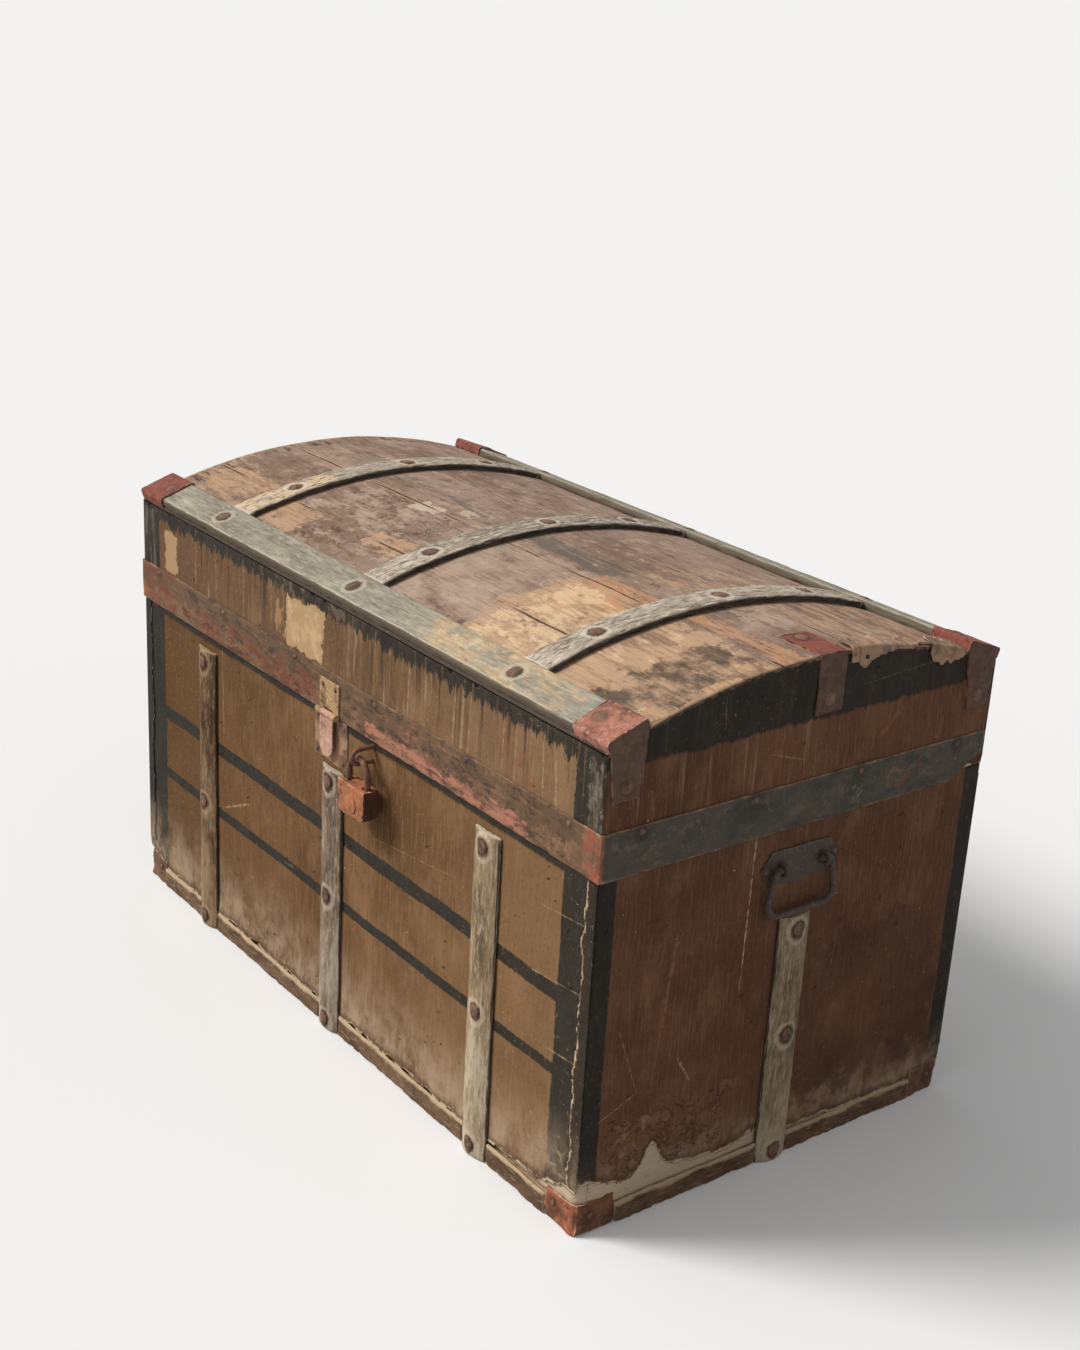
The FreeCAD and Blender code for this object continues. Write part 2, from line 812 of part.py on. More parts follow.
def dome_clamp_nails():
    """Nails through the top and the leg of a dome clamp."""
    top = dome_nail(dome_radius + sheet_iron, dome_clamp_offset / dome_radius,
                    lid_end - dome_clamp_reach + nail_inset, nail_head)
    height = dome_centre + dome_radius + sheet_iron - dome_clamp_drop + nail_inset
    place = V(lid_end + sheet_iron, dome_clamp_offset, height)
    side = nail(place, ALONG_X, nail_head, sheet_iron + lid_cover + shank_bite)
    return [top, side]


def hoop(x):
    """Bent slat over the dome, between the battens."""
    side = hoop_width / 2
    inner = dome_centre + dome_radius
    outer = inner + hoop_thickness
    flat = side - hoop_shoulder
    drop = hoop_shoulder * (1 - math.sqrt(0.5))
    outline = Part.Wire([
        Part.makeLine(V(-side, 0, inner), V(-side, 0, outer - hoop_shoulder)),
        Part.Arc(V(-side, 0, outer - hoop_shoulder), V(drop - side, 0, outer - drop),
                 V(-flat, 0, outer)).toShape(),
        Part.makeLine(V(-flat, 0, outer), V(flat, 0, outer)),
        Part.Arc(V(flat, 0, outer), V(side - drop, 0, outer - drop),
                 V(side, 0, outer - hoop_shoulder)).toShape(),
        Part.makeLine(V(side, 0, outer - hoop_shoulder), V(side, 0, inner)),
        Part.makeLine(V(side, 0, inner), V(-side, 0, inner)),
    ])
    start = turned(Part.Face(outline), -math.degrees(hoop_angle), DOME_AXIS, ALONG_X)
    return moved(start.revolve(DOME_AXIS, ALONG_X, 2 * math.degrees(hoop_angle)), x, 0, 0)


def wood_nails():
    """Nails in the hoops, and in the battens beside them."""
    hoop_top = dome_radius + hoop_thickness
    batten_top = dome_radius + batten_thickness
    pieces = []
    for x in slat_places:
        pieces += [dome_nail(hoop_top, place / dome_radius, x, nail_head) for place in hoop_nail_places]
        pieces += [dome_nail(batten_top, side * batten_angle, x, nail_head) for side in (-1, 1)]
    return pieces


def four_corners(shape):
    """The same piece at the four corners, from the one at the right front."""
    left = mirrored(shape, ALONG_X)
    return {
        "front_right": shape,
        "front_left": left,
        "rear_right": mirrored(shape, ALONG_Y),
        "rear_left": mirrored(left, ALONG_Y),
    }


def at_hinges(shapes):
    """Pieces of one hinge, set at both ends of the rear."""
    return [moved(shape, side * hinge_offset, 0, 0) for shape in shapes for side in (-1, 1)]


slat_places = (-slat_pitch, 0, slat_pitch)
nodes = {}

# Chest boards and canvas
nodes["base_boards"] = Part.makeCompound(base_boards())
nodes["front_wall_boards"] = long_wall()
nodes["rear_wall_boards"] = mirrored(long_wall(), ALONG_Y)
nodes["right_wall_boards"] = end_wall()
nodes["left_wall_boards"] = mirrored(end_wall(), ALONG_X)
nodes["chest_canvas"] = cover_ring(canvas, 0, seam_height - seam_gap)

# Slats and their nails
chest_slats = []
for name, place in zip(("left", "middle", "right"), slat_places):
    front_top = middle_slat_top if place == 0 else outer_slat_top
    chest_slats.append((f"front_slat_{name}", place, FRONT_TURN, front_top))
    chest_slats.append((f"rear_slat_{name}", -place, REAR_TURN, outer_slat_top))
chest_slats.append(("left_end_slat", 0, LEFT_TURN, end_slat_top))
chest_slats.append(("right_end_slat", 0, RIGHT_TURN, end_slat_top))
driven = []
for name, place, turn, top in chest_slats:
    nodes[name] = on_side(moved(slat(top), place, 0, 0), turn, chest_face)
    driven += [on_side(moved(piece, place, 0, 0), turn, chest_face) for piece in slat_nails(top)]
nodes["slat_nails"] = Part.makeCompound(driven)

# Edge binding and corner caps
runs = []
for turn, half_side, places in (
    (FRONT_TURN, half_length, slat_places), (REAR_TURN, half_length, slat_places),
    (LEFT_TURN, half_depth, (0,)), (RIGHT_TURN, half_depth, (0,)),
):
    runs += [on_side(run, turn, chest_face) for run in side_binding(half_side, places)]
nodes["base_binding"] = Part.makeCompound(runs)
for corner, cap in four_corners(base_cap()).items():
    nodes[f"base_cap_{corner}"] = cap

# End handles
iron_nails = []
eyes = []
for end, turn in (("left", LEFT_TURN), ("right", RIGHT_TURN)):
    nodes[f"handle_plate_{end}"] = on_side(handle_plate(), turn, chest_face)
    eyes += [on_side(eye, turn, chest_face) for eye in handle_eyes()]
    nodes[f"bail_{end}"] = on_side(bail(), turn, chest_face)
    iron_nails += [on_side(piece, turn, chest_face) for piece in handle_nails()]
nodes["handle_eyes"] = Part.makeCompound(eyes)

# Lock plate and padlock
nodes["lock_plate"] = on_side(lock_plate(), FRONT_TURN, chest_face)
nodes["padlock_staple"] = on_side(padlock_staple(), FRONT_TURN, chest_face)
nodes["padlock_shackle"] = on_side(shackle(), FRONT_TURN, chest_face)
nodes["padlock_case"] = on_side(padlock_case(), FRONT_TURN, chest_face)
nodes["padlock_rivet"] = on_side(padlock_rivet(), FRONT_TURN, chest_face)
iron_nails += [on_side(piece, FRONT_TURN, chest_face) for piece in lock_plate_nails()]

# Rear hinges
for end, side in (("left", -1), ("right", 1)):
    nodes[f"hinge_chest_leaf_{end}"] = moved(hinge_chest_leaf(), side * hinge_offset, 0, 0)
    nodes[f"hinge_lid_leaf_{end}"] = moved(hinge_lid_leaf(), side * hinge_offset, 0, 0)
nodes["hinge_pins"] = Part.makeCompound(at_hinges([hinge_pin()]))
leaf_middle = hinge_barrel + barrel_gap + hinge_leaf_height / 2
chest_leaf_nails = [on_side(n, REAR_TURN, chest_face) for n in hinge_leaf_nails(seam_height - leaf_middle)]
lid_leaf_nails = [on_side(n, REAR_TURN, lid_cover) for n in hinge_leaf_nails(seam_height + leaf_middle)]
iron_nails += at_hinges(chest_leaf_nails)
for piece in base_cap_nails():
    iron_nails += four_corners(piece).values()
nodes["chest_iron_nails"] = Part.makeCompound(iron_nails)

# Lid boards and canvas
nodes["lid_front_board"] = lid_long_board()
nodes["lid_rear_board"] = mirrored(lid_long_board(), ALONG_Y)
nodes["lid_right_end"] = lid_end_board()
nodes["lid_left_end"] = mirrored(lid_end_board(), ALONG_X)
nodes["dome_staves"] = Part.makeCompound(staves())
nodes["dome_canvas"] = dome_canvas()
nodes["lid_canvas"] = lid_canvas()

# Band, battens, hoops and clamps of the lid
nodes["lid_band"] = lid_band()
nodes["batten_front"] = front_batten()
nodes["batten_rear"] = mirrored(front_batten(), ALONG_Y)
for name, place in zip(("left", "middle", "right"), slat_places):
    nodes[f"hoop_{name}"] = hoop(place)
for corner, clamp in four_corners(corner_clamp()).items():
    nodes[f"corner_clamp_{corner}"] = clamp
nodes["dome_clamp"] = dome_clamp()
nodes["lid_wood_nails"] = Part.makeCompound(wood_nails())

# Hasp and the small nails of the lid
front_of_band = lid_cover + band_sheet
nodes["hasp_plate"] = on_side(hasp_plate(), FRONT_TURN, front_of_band)
nodes["hasp_strap"] = on_side(hasp_strap(), FRONT_TURN, front_of_band)
nodes["hasp_pin"] = on_side(hasp_pin(), FRONT_TURN, front_of_band)
lid_nails = band_tacks() + at_hinges(lid_leaf_nails)
lid_nails += [on_side(piece, FRONT_TURN, front_of_band) for piece in hasp_plate_nails()]
for piece in corner_clamp_nails():
    lid_nails += four_corners(piece).values()
lid_nails += dome_clamp_nails()
nodes["lid_iron_nails"] = Part.makeCompound(lid_nails)

os.makedirs("parts", exist_ok=True)
for name, shape in nodes.items():
    shape.exportStep(f"parts/{name}.step")
print(len(nodes), "nodes")
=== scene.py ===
import json
import logging
import math
from dataclasses import dataclass, replace
from enum import Enum
from typing import Callable, Iterable, Optional, Union

import bmesh
import bpy
from mathutils import Matrix, Vector, noise

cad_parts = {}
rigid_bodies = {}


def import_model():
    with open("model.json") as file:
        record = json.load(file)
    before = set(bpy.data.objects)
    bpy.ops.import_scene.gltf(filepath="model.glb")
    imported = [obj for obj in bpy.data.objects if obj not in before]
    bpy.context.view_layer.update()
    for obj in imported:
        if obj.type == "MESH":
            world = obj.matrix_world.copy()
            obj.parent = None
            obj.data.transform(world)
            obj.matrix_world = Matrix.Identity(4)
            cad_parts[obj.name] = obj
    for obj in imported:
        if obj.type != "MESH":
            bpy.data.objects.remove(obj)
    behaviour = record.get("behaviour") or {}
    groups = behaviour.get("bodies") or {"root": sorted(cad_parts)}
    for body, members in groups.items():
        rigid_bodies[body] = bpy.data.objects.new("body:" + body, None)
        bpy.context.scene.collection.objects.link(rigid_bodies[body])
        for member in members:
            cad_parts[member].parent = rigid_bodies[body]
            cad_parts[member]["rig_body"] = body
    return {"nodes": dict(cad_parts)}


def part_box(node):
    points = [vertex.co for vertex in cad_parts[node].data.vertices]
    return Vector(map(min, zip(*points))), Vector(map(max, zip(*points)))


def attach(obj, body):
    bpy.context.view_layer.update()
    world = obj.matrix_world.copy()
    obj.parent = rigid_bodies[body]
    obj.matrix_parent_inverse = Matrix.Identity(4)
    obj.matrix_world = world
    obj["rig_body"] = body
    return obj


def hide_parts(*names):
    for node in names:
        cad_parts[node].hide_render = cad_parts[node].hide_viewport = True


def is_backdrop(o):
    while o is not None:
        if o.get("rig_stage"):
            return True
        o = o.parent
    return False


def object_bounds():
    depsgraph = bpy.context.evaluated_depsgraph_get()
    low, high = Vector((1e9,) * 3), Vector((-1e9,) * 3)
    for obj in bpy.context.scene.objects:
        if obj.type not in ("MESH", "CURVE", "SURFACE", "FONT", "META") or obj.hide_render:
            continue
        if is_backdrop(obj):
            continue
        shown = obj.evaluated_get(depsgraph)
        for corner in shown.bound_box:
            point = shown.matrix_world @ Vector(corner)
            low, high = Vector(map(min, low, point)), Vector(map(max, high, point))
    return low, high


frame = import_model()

LOG = logging.getLogger("trunk")
DOME_CENTRE = -0.13156
DOME_RADIUS = 0.64956
DENT_SEED = 1

BMesh = bmesh.types.BMesh
Layer = bmesh.types.BMLayerItem
Material = bpy.types.Material
Socket = bpy.types.NodeSocket
Colour = tuple[float, float, float, float]
Number = Union[float, "Signal"]
Point = tuple[float, float]
Triple = tuple[float, float, float]
Scale = Union[float, Triple]


class Body(Enum):
    """A moving body of the trunk."""

    CHEST = "chest"
    LID = "lid"
    PADLOCK = "padlock"


class Slot(Enum):
    """A finish that the part can be repainted by."""

    PINE = "pine_boards"
    WOOD = "weathered_wood"
    CANVAS = "painted_canvas"
    BAND = "band_iron"
    IRON = "rusty_iron"
    LOCK = "padlock_iron"
    BINDING = "binding_fibre"


class Axis(Enum):
    """An axis of the trunk: along it, from front to rear, or up."""

    X = 0
    Y = 1
    Z = 2

    def stretch(self, along: float, across: float) -> Triple:
        """Scale of a pattern that is drawn out along this axis.

        Args:
            along: waves in a metre along the axis.
            across: waves in a metre across it.

        Returns:
            The scale on the three axes.
        """
        scale = [across] * 3
        scale[self.value] = along
        return tuple(scale)


class Side(Enum):
    """A side of the trunk, as the way that it faces in plan."""

    FRONT = (0, -1)
    REAR = (0, 1)
    LEFT = (-1, 0)
    RIGHT = (1, 0)

    @property
    def is_end(self) -> bool:
        """Whether this is one of the two short sides."""
        return self.value[1] == 0

    @property
    def flips(self) -> bool:
        """Whether a sheet drawn on this side comes out facing inwards."""
        return self in (Side.REAR, Side.LEFT)

    def place(self, along: float, out: float, height: float) -> Vector:
        """Point on this side.

        Args:
            along: distance along the side from its middle.
            out: distance from the middle of the trunk.
            height: height over the floor.

        Returns:
            The point, in metres.
        """
        facing_x, facing_y = self.value
        if self.is_end:
            return Vector((facing_x * out, along, height))
        return Vector((along, facing_y * out, height))


def paint(red: int, green: int, blue: int) -> Colour:
    """Linear colour for a display colour.

    Args:
        red: red level, 0 to 255.
        green: green level, 0 to 255.
        blue: blue level, 0 to 255.

    Returns:
        The colour as a shader socket takes it.
    """
    levels = [level / 255 for level in (red, green, blue)]
    linear = [c / 12.92 if c <= 0.04045 else ((c + 0.055) / 1.055) ** 2.4 for c in levels]
    return (*linear, 1.0)


def ease(value: float, low: float, high: float) -> float:
    """Smooth step from 0 at low to 1 at high."""
    share = min(1.0, max(0.0, (value - low) / (high - low)))
    return share * share * (3 - 2 * share)


def ripple(at: Vector, scale: Scale, octaves: int = 3) -> float:
    """Noise at a point, about -1 to 1, at a scale in waves in a metre."""
    factors = (scale,) * 3 if isinstance(scale, (int, float)) else scale
    return noise.fractal(Vector(a * b for a, b in zip(at, factors)), 1.0, 2.0, octaves)


class Signal:
    """A number that changes over a surface, from the output of a shader node."""

    def __init__(self, recipe: "Recipe", socket: Socket) -> None:
        """Keep a node's output and the recipe that the node belongs to."""
        self.recipe = recipe
        self.socket = socket

    def math(self, operation: str, first: Number, second: Number = 0.0) -> "Signal":
        """Result of one sum, by the name of its operation."""
        return self.recipe.signal("ShaderNodeMath", first, second, operation=operation)

    def __add__(self, other: Number) -> "Signal":
        """Sum of two numbers."""
        return self.math("ADD", self, other)

    def __sub__(self, other: Number) -> "Signal":
        """What is left after taking a number away."""
        return self.math("SUBTRACT", self, other)

    def __rsub__(self, other: float) -> "Signal":
        """What is left of a fixed number."""
        return self.math("SUBTRACT", other, self)

    def __mul__(self, other: Number) -> "Signal":
        """Product of two numbers."""
        return self.math("MULTIPLY", self, other)

    def __abs__(self) -> "Signal":
        """Size without the sign."""
        return self.math("ABSOLUTE", self)

    def highest(self, other: Number) -> "Signal":
        """Larger of two numbers."""
        return self.math("MAXIMUM", self, other)

    def above(self, low: Number, high: Number) -> "Signal":
        """Smooth mask, 0 below low and 1 over high."""
        return self.recipe.signal("ShaderNodeMapRange", self, low, high, 0.0, 1.0,
                                  interpolation_type="SMOOTHSTEP")

    def below(self, low: Number, high: Number) -> "Signal":
        """Smooth mask, 1 below low and 0 over high."""
        return 1.0 - self.above(low, high)

    def between(self, low: float, high: float, soft: float) -> "Signal":
        """Mask of a strip from low to high, with edges of a soft width."""
        return self.above(low - soft, low + soft) * self.below(high - soft, high + soft)


class Nodes:
    """Node tree that is filled one node at a time."""

    def __init__(self, owner: Union[Material, bpy.types.World]) -> None:
        """Start with an empty tree.

        Args:
            owner: what the tree belongs to.
        """
        owner.use_nodes = True
        self.tree = owner.node_tree
        self.tree.nodes.clear()

    def feed(self, socket: Socket, value: object) -> None:
        """Link or set one input.

        Args:
            socket: the input.
            value: a signal, an output or a plain value.
        """
        source = value.socket if isinstance(value, Signal) else value
        if isinstance(source, Socket):
            self.tree.links.new(source, socket)
        else:
            socket.default_value = source

    def node(self, kind: str, *values: object, **settings: object) -> bpy.types.Node:
        """Add one node.

        Args:
            kind: the node's type.
            values: what goes into its inputs, in order.
            settings: its own properties.

        Returns:
            The node.
        """
        made = self.tree.nodes.new(kind)
        for key, value in settings.items():
            setattr(made, key, value)
        for socket, value in zip(made.inputs, values):
            self.feed(socket, value)
        return made


class Recipe(Nodes):
    """Nodes of one material of the trunk. Its marks lie along X and up Z unless told otherwise."""

    MIX_INPUTS = (0, 6, 7)
    MIX_COLOUR = 2

    def __init__(self, name: str) -> None:
        """Start an empty material.

        Args:
            name: name of the material.
        """
        self.material = bpy.data.materials.new(name)
        super().__init__(self.material)
        ways = self.node("ShaderNodeTexCoord").outputs
        self.spot = ways["Object"]
        self.x, self.y, self.z = self.split(self.spot)
        self.facing = self.split(ways["Normal"])
        self.along, self.height = self.x, self.z
        self.tone: object = None

    def signal(self, kind: str, *values: object, **settings: object) -> Signal:
        """Add one node and keep its first output."""
        return Signal(self, self.node(kind, *values, **settings).outputs[0])

    def split(self, vector: Socket) -> list[Signal]:
        """The three numbers of a vector."""
        return [Signal(self, part) for part in self.node("ShaderNodeSeparateXYZ", vector).outputs]

    def noise(self, scale: Scale, detail: float = 4.0, rough: float = 0.55,
              shift: float = 0.0) -> Signal:
        """Cloudy pattern round 0.5.

        Args:
            scale: waves in a metre, the same all ways or for each axis.
            detail: layers of finer noise.
            rough: strength of the finer layers.
            shift: moves the pattern, so that two of one scale differ.

        Returns:
            The pattern.
        """
        factors = (scale,) * 3 if isinstance(scale, (int, float)) else scale
        spot = self.node("ShaderNodeVectorMath", self.spot, factors, (shift,) * 3,
                         operation="MULTIPLY_ADD").outputs[0]
        made = self.node("ShaderNodeTexNoise")
        values = {"Vector": spot, "Scale": 1.0, "Detail": detail, "Roughness": rough}
        for key, value in values.items():
            self.feed(made.inputs[key], value)
        return Signal(self, made.outputs[0])

    def threads(self, across: Signal, spacing: float) -> Signal:
        """Fine ribs at a spacing, 0 to 1."""
        turns = across * (math.tau / spacing)
        return turns.math("SINE", turns) * 0.5 + 0.5

    def attribute(self, name: str) -> Signal:
        """Number that the mesh carries under a name."""
        made = self.node("ShaderNodeAttribute", attribute_name=name)
        return Signal(self, made.outputs["Fac"])

    def blend(self, amount: Number, first: object, second: object) -> Socket:
        """Mix of two colours.

        Args:
            amount: 0 for the first and 1 for the second.
            first: a colour.
            second: a colour.

        Returns:
            The mixed colour.
        """
        made = self.node("ShaderNodeMix", data_type="RGBA")
        for index, value in zip(self.MIX_INPUTS, (amount, first, second)):
            self.feed(made.inputs[index], value)
        return made.outputs[self.MIX_COLOUR]

    def coat(self, amount: Number, colour: object) -> None:
        """Lay a colour over the one so far, by an amount from 0 to 1."""
        self.tone = self.blend(amount, self.tone, colour)

    def finish(self, roughness: Number, relief: Signal, depth: float,
               gloss: float = 0.1) -> Material:
        """Close the material, in its colour so far.

        Args:
            roughness: its roughness.
            relief: fine unevenness, 0 to 1.
            depth: depth of the unevenness, in metres.
            gloss: strength of its reflections.

        Returns:
            The finished material.
        """
        bump = self.node("ShaderNodeBump")
        shader = self.node("ShaderNodeBsdfPrincipled")
        for made, key, value in (
            (bump, "Distance", depth), (bump, "Height", relief), (shader, "Base Color", self.tone),
            (shader, "Roughness", roughness), (shader, "Normal", bump.outputs[0]),
            (shader, "Specular IOR Level", gloss),
        ):
            self.feed(made.inputs[key], value)
        self.node("ShaderNodeOutputMaterial", shader.outputs[0])
        return self.material


@dataclass(frozen=True)
class Patch:
    """Place on a surface.

    Args:
        left: left edge.
        right: right edge.
        low: lower or front edge.
        high: upper or rear edge.
    """

    left: float
    right: float
    low: float
    high: float

    def depth(self, along: float, height: float) -> float:
        """How far inside the place a point is, below zero outside it."""
        return min(along - self.left, self.right - along, height - self.low, self.high - height)

    def mask(self, r: Recipe, ragged: float) -> Signal:
        """Mask of the place, with an uneven edge.

        Args:
            r: the material that it goes into.
            ragged: unevenness of the edge.

        Returns:
            The mask.
        """
        sway = (r.noise(32, 6, 0.7, shift=self.left * 9) - 0.5) * (5 * ragged)
        inside = (r.along + sway).between(self.left, self.right, ragged / 2)
        return inside * (r.height + sway).between(self.low, self.high, ragged / 2)


@dataclass(frozen=True)
class Stain:
    """Place where a surface has another colour.

    Args:
        place: the place.
        colour: the colour there.
        cover: share of the place that has it.
        strength: how much of the colour below it hides.
        ragged: unevenness of its edge.
        flakes: waves in a metre of its broken surface, on each axis.
        rim: colour of a line round it, if any.
        soft: how gently it fades.
    """

    place: Patch
    colour: Colour
    cover: float = 0.7
    strength: float = 0.85
    ragged: float = 0.012
    flakes: Triple = (60, 90, 90)
    rim: Optional[Colour] = None
    soft: float = 0.06

    def lay(self, r: Recipe) -> None:
        """Put the stain on a material.

        Args:
            r: the material.
        """
        inside = self.place.mask(r, self.ragged)
        broken = r.noise(self.flakes, 6, 0.72, shift=self.place.low * 17 + 3) + inside * 0.4
        level = 0.9 + (0.5 - self.cover) * 0.4
        if self.rim:
            line = broken.between(level - 0.045, level - 0.005, 0.012)
            r.coat(line * 0.75, self.rim)
        shown = broken.above(level - self.soft / 2, level + self.soft) * self.strength
        r.coat(shown, self.colour)


@dataclass(frozen=True)
class Scratch:
    """Long mark on a side, between two points of it.

    Args:
        start: along and height of one end, in metres.
        end: along and height of the other end.
        width: width of the mark.
        strength: how much of the colour it hides.
        colour: colour of the mark.
    """

    start: Point
    end: Point
    width: float
    strength: float = 0.7
    colour: Colour = paint(196, 166, 130)

    def lay(self, r: Recipe) -> None:
        """Put the mark on a material.

        Args:
            r: the material.
        """
        run = (self.end[0] - self.start[0], self.end[1] - self.start[1])
        length = math.hypot(*run)
        from_along, from_height = r.along - self.start[0], r.height - self.start[1]
        share = (from_along * run[0] + from_height * run[1]) * (1 / length ** 2)
        off = abs((from_height * run[0] - from_along * run[1]) * (1 / length))
        uneven = r.noise(150, 5, 0.7, shift=self.start[0] * 40) * (self.width * 3)
        line = (off + uneven).below(self.width * 1.2, self.width * 2.2)
        r.coat(line * share.between(0.0, 1.0, 0.06) * self.strength, self.colour)


@dataclass(frozen=True)
class CanvasFinish:
    """Painted canvas of one side, with its black lines and its wear.

    Args:
        name: name of the material.
        side: the side that it covers.
        field: main colour.
        shade: darker patches.
        pale: lighter patches.
        posts: where the upright black strips begin, from the middle of the side.
        crest: height over which the side is black.
        rails: lower and upper edge of each level black line.
        drips: how far the black has run down from there.
        streaks: amount of upright cream and dark streaks.
        dust: height up to which dust clings.
        marks: single stains and scratches.
        arch: radius of the edge that is rubbed pale, round the middle of the dome, or 0.
    """

    name: str
    side: Side
    field: Colour
    shade: Colour
    pale: Colour
    posts: float
    crest: float
    rails: tuple[Point, ...] = ()
    drips: float = 0.0
    streaks: float = 0.0
    dust: float = 0.0
    marks: tuple[Union[Stain, Scratch], ...] = ()
    arch: float = 0.0

    CREAM = paint(204, 180, 148)
    BLACK = paint(44, 46, 41)
    SOOT = paint(36, 35, 32)
    DUST = paint(186, 160, 133)
    DEEP = paint(66, 48, 36)
    WEAVE = 0.0011

    def material(self) -> Material:
        """Make the material.

        Returns:
            The material.
        """
        r = Recipe(self.name)
        r.along = r.y if self.side.is_end else r.x
        self.ground(r)
        black = self.lines(r)
        patchy = r.noise((70, 70, 24), 6, 0.66, shift=3.0).above(0.4, 0.64)
        r.coat(black, r.blend(patchy, self.SOOT, self.BLACK))
        if self.dust:
            r.coat(self.dirt(r), self.DUST)
        for mark in self.marks:
            mark.lay(r)
        if self.arch:
            rise = r.z - DOME_CENTRE
            off = r.y * r.y + rise * rise
            off = off.math("SQRT", off) + (r.noise(120, 5, 0.7, shift=4.5) - 0.5) * 0.012
            r.coat(off.above(self.arch - 0.004, self.arch - 0.001) * 0.6, self.DUST)
        where = r.noise(9, 2, 0.5, shift=5.0).above(0.45, 0.6)
        flecks = r.noise(420, 2, 0.5).above(0.71, 0.75) * where
        flecks = flecks.highest(r.noise(190, 1, 0.5, shift=12.0).above(0.80, 0.82))
        r.coat(flecks * 0.8, self.CREAM)
        depth = r.attribute("depth") + (r.noise(150, 5, 0.7, shift=6.5) - 0.5) * 0.012 - 0.0015
        r.coat(depth.above(-0.013, -0.005) * 0.6, self.DEEP)
        torn = depth.above(-0.0045, -0.0015)
        r.coat(torn, self.CREAM)
        weave = r.threads(r.along, self.WEAVE) * r.threads(r.height, self.WEAVE)
        relief = weave * 0.25 + r.noise(300, 5, 0.65) * 0.6 + torn * 0.3
        rough = 0.9 - black * 0.2 - r.noise(20, 4, 0.6, shift=8.0) * 0.12
        return r.finish(rough, relief, 0.0009)

    def ground(self, r: Recipe) -> None:
        """Lay the worn main colour, darker towards the left of a long side.

        Args:
            r: the material.
        """
        r.tone = r.blend(r.noise(6, 6, 0.62).above(0.38, 0.62), self.shade, self.field)
        cloud = r.noise((24, 24, 14), 6, 0.65, shift=2.0)
        r.coat(cloud.above(0.46, 0.72) * 0.6, self.pale)
        thread = r.noise((430, 430, 30), 4, 0.68)
        r.coat(thread.above(0.5, 0.68) * 0.5, self.pale)
        r.coat(thread.below(0.34, 0.46) * 0.5, self.shade)
        if not self.side.is_end:
            r.coat(r.along.below(-0.42, 0.02) * 0.85, self.shade)
            r.coat(r.along.above(0.06, 0.42) * 0.5, self.pale)
        grit = r.noise(290, 4, 0.7, shift=4.0)
        r.coat(grit.above(0.56, 0.7) * 0.45, self.pale)
        r.coat(grit.below(0.3, 0.42) * 0.5, self.DEEP)
        if self.streaks:
            place = r.noise((22, 22, 9), 3, 0.5, shift=6.0).above(0.42, 0.62)
            light = r.noise((170, 170, 5), 4, 0.65).above(0.58, 0.7) * place
            r.coat(light * self.streaks * 0.8, self.CREAM)
            dark = r.noise((150, 150, 7), 4, 0.65, shift=9.0).above(0.52, 0.66)
            dark = dark * (r.height.above(self.crest - 0.06, self.crest) * 0.7 + 0.3)
            r.coat(dark * self.streaks, self.DEEP)

    def lines(self, r: Recipe) -> Signal:
        """Mask of the black lines, chipped at their edges.

        Args:
            r: the material.

        Returns:
            The mask.
        """
        sway = (r.noise(16, 4, 0.6, shift=1.0) - 0.5) * 0.006
        sway = sway + (r.noise(220, 4, 0.7, shift=1.5) - 0.5) * 0.004
        level = r.height + sway
        mask = (abs(r.along) + sway).above(self.posts - 0.001, self.posts + 0.001)
        runs = (r.noise((120, 120, 5), 4, 0.66, shift=7.5) - 0.5) * self.drips
        mask = mask.highest((level + runs).above(self.crest - 0.002, self.crest + 0.002))
        for low, high in self.rails:
            mask = mask.highest(level.between(low, high, 0.0009))
        chips = r.noise(150, 6, 0.7, shift=2.5).above(0.56, 0.68) * 0.5
        washed = r.noise((200, 200, 9), 4, 0.65, shift=5.5).above(0.54, 0.68)
        return mask * (1.0 - chips.highest(washed * self.streaks * 0.7)) * 0.94

    def dirt(self, r: Recipe) -> Signal:
        """Mask of the dust that clings low down.

        Args:
            r: the material.

        Returns:
            The mask.
        """
        cloud, spots = r.noise((40, 40, 24), 6, 0.68), r.noise((110, 110, 60), 5, 0.7)
        cling = r.height.below(0.02, self.dust) * cloud.above(0.30, 0.66)
        splash = r.height.below(0.015, self.dust * 0.7) * spots.above(0.48, 0.62)
        return (cling * 0.85).highest(splash * 0.8)


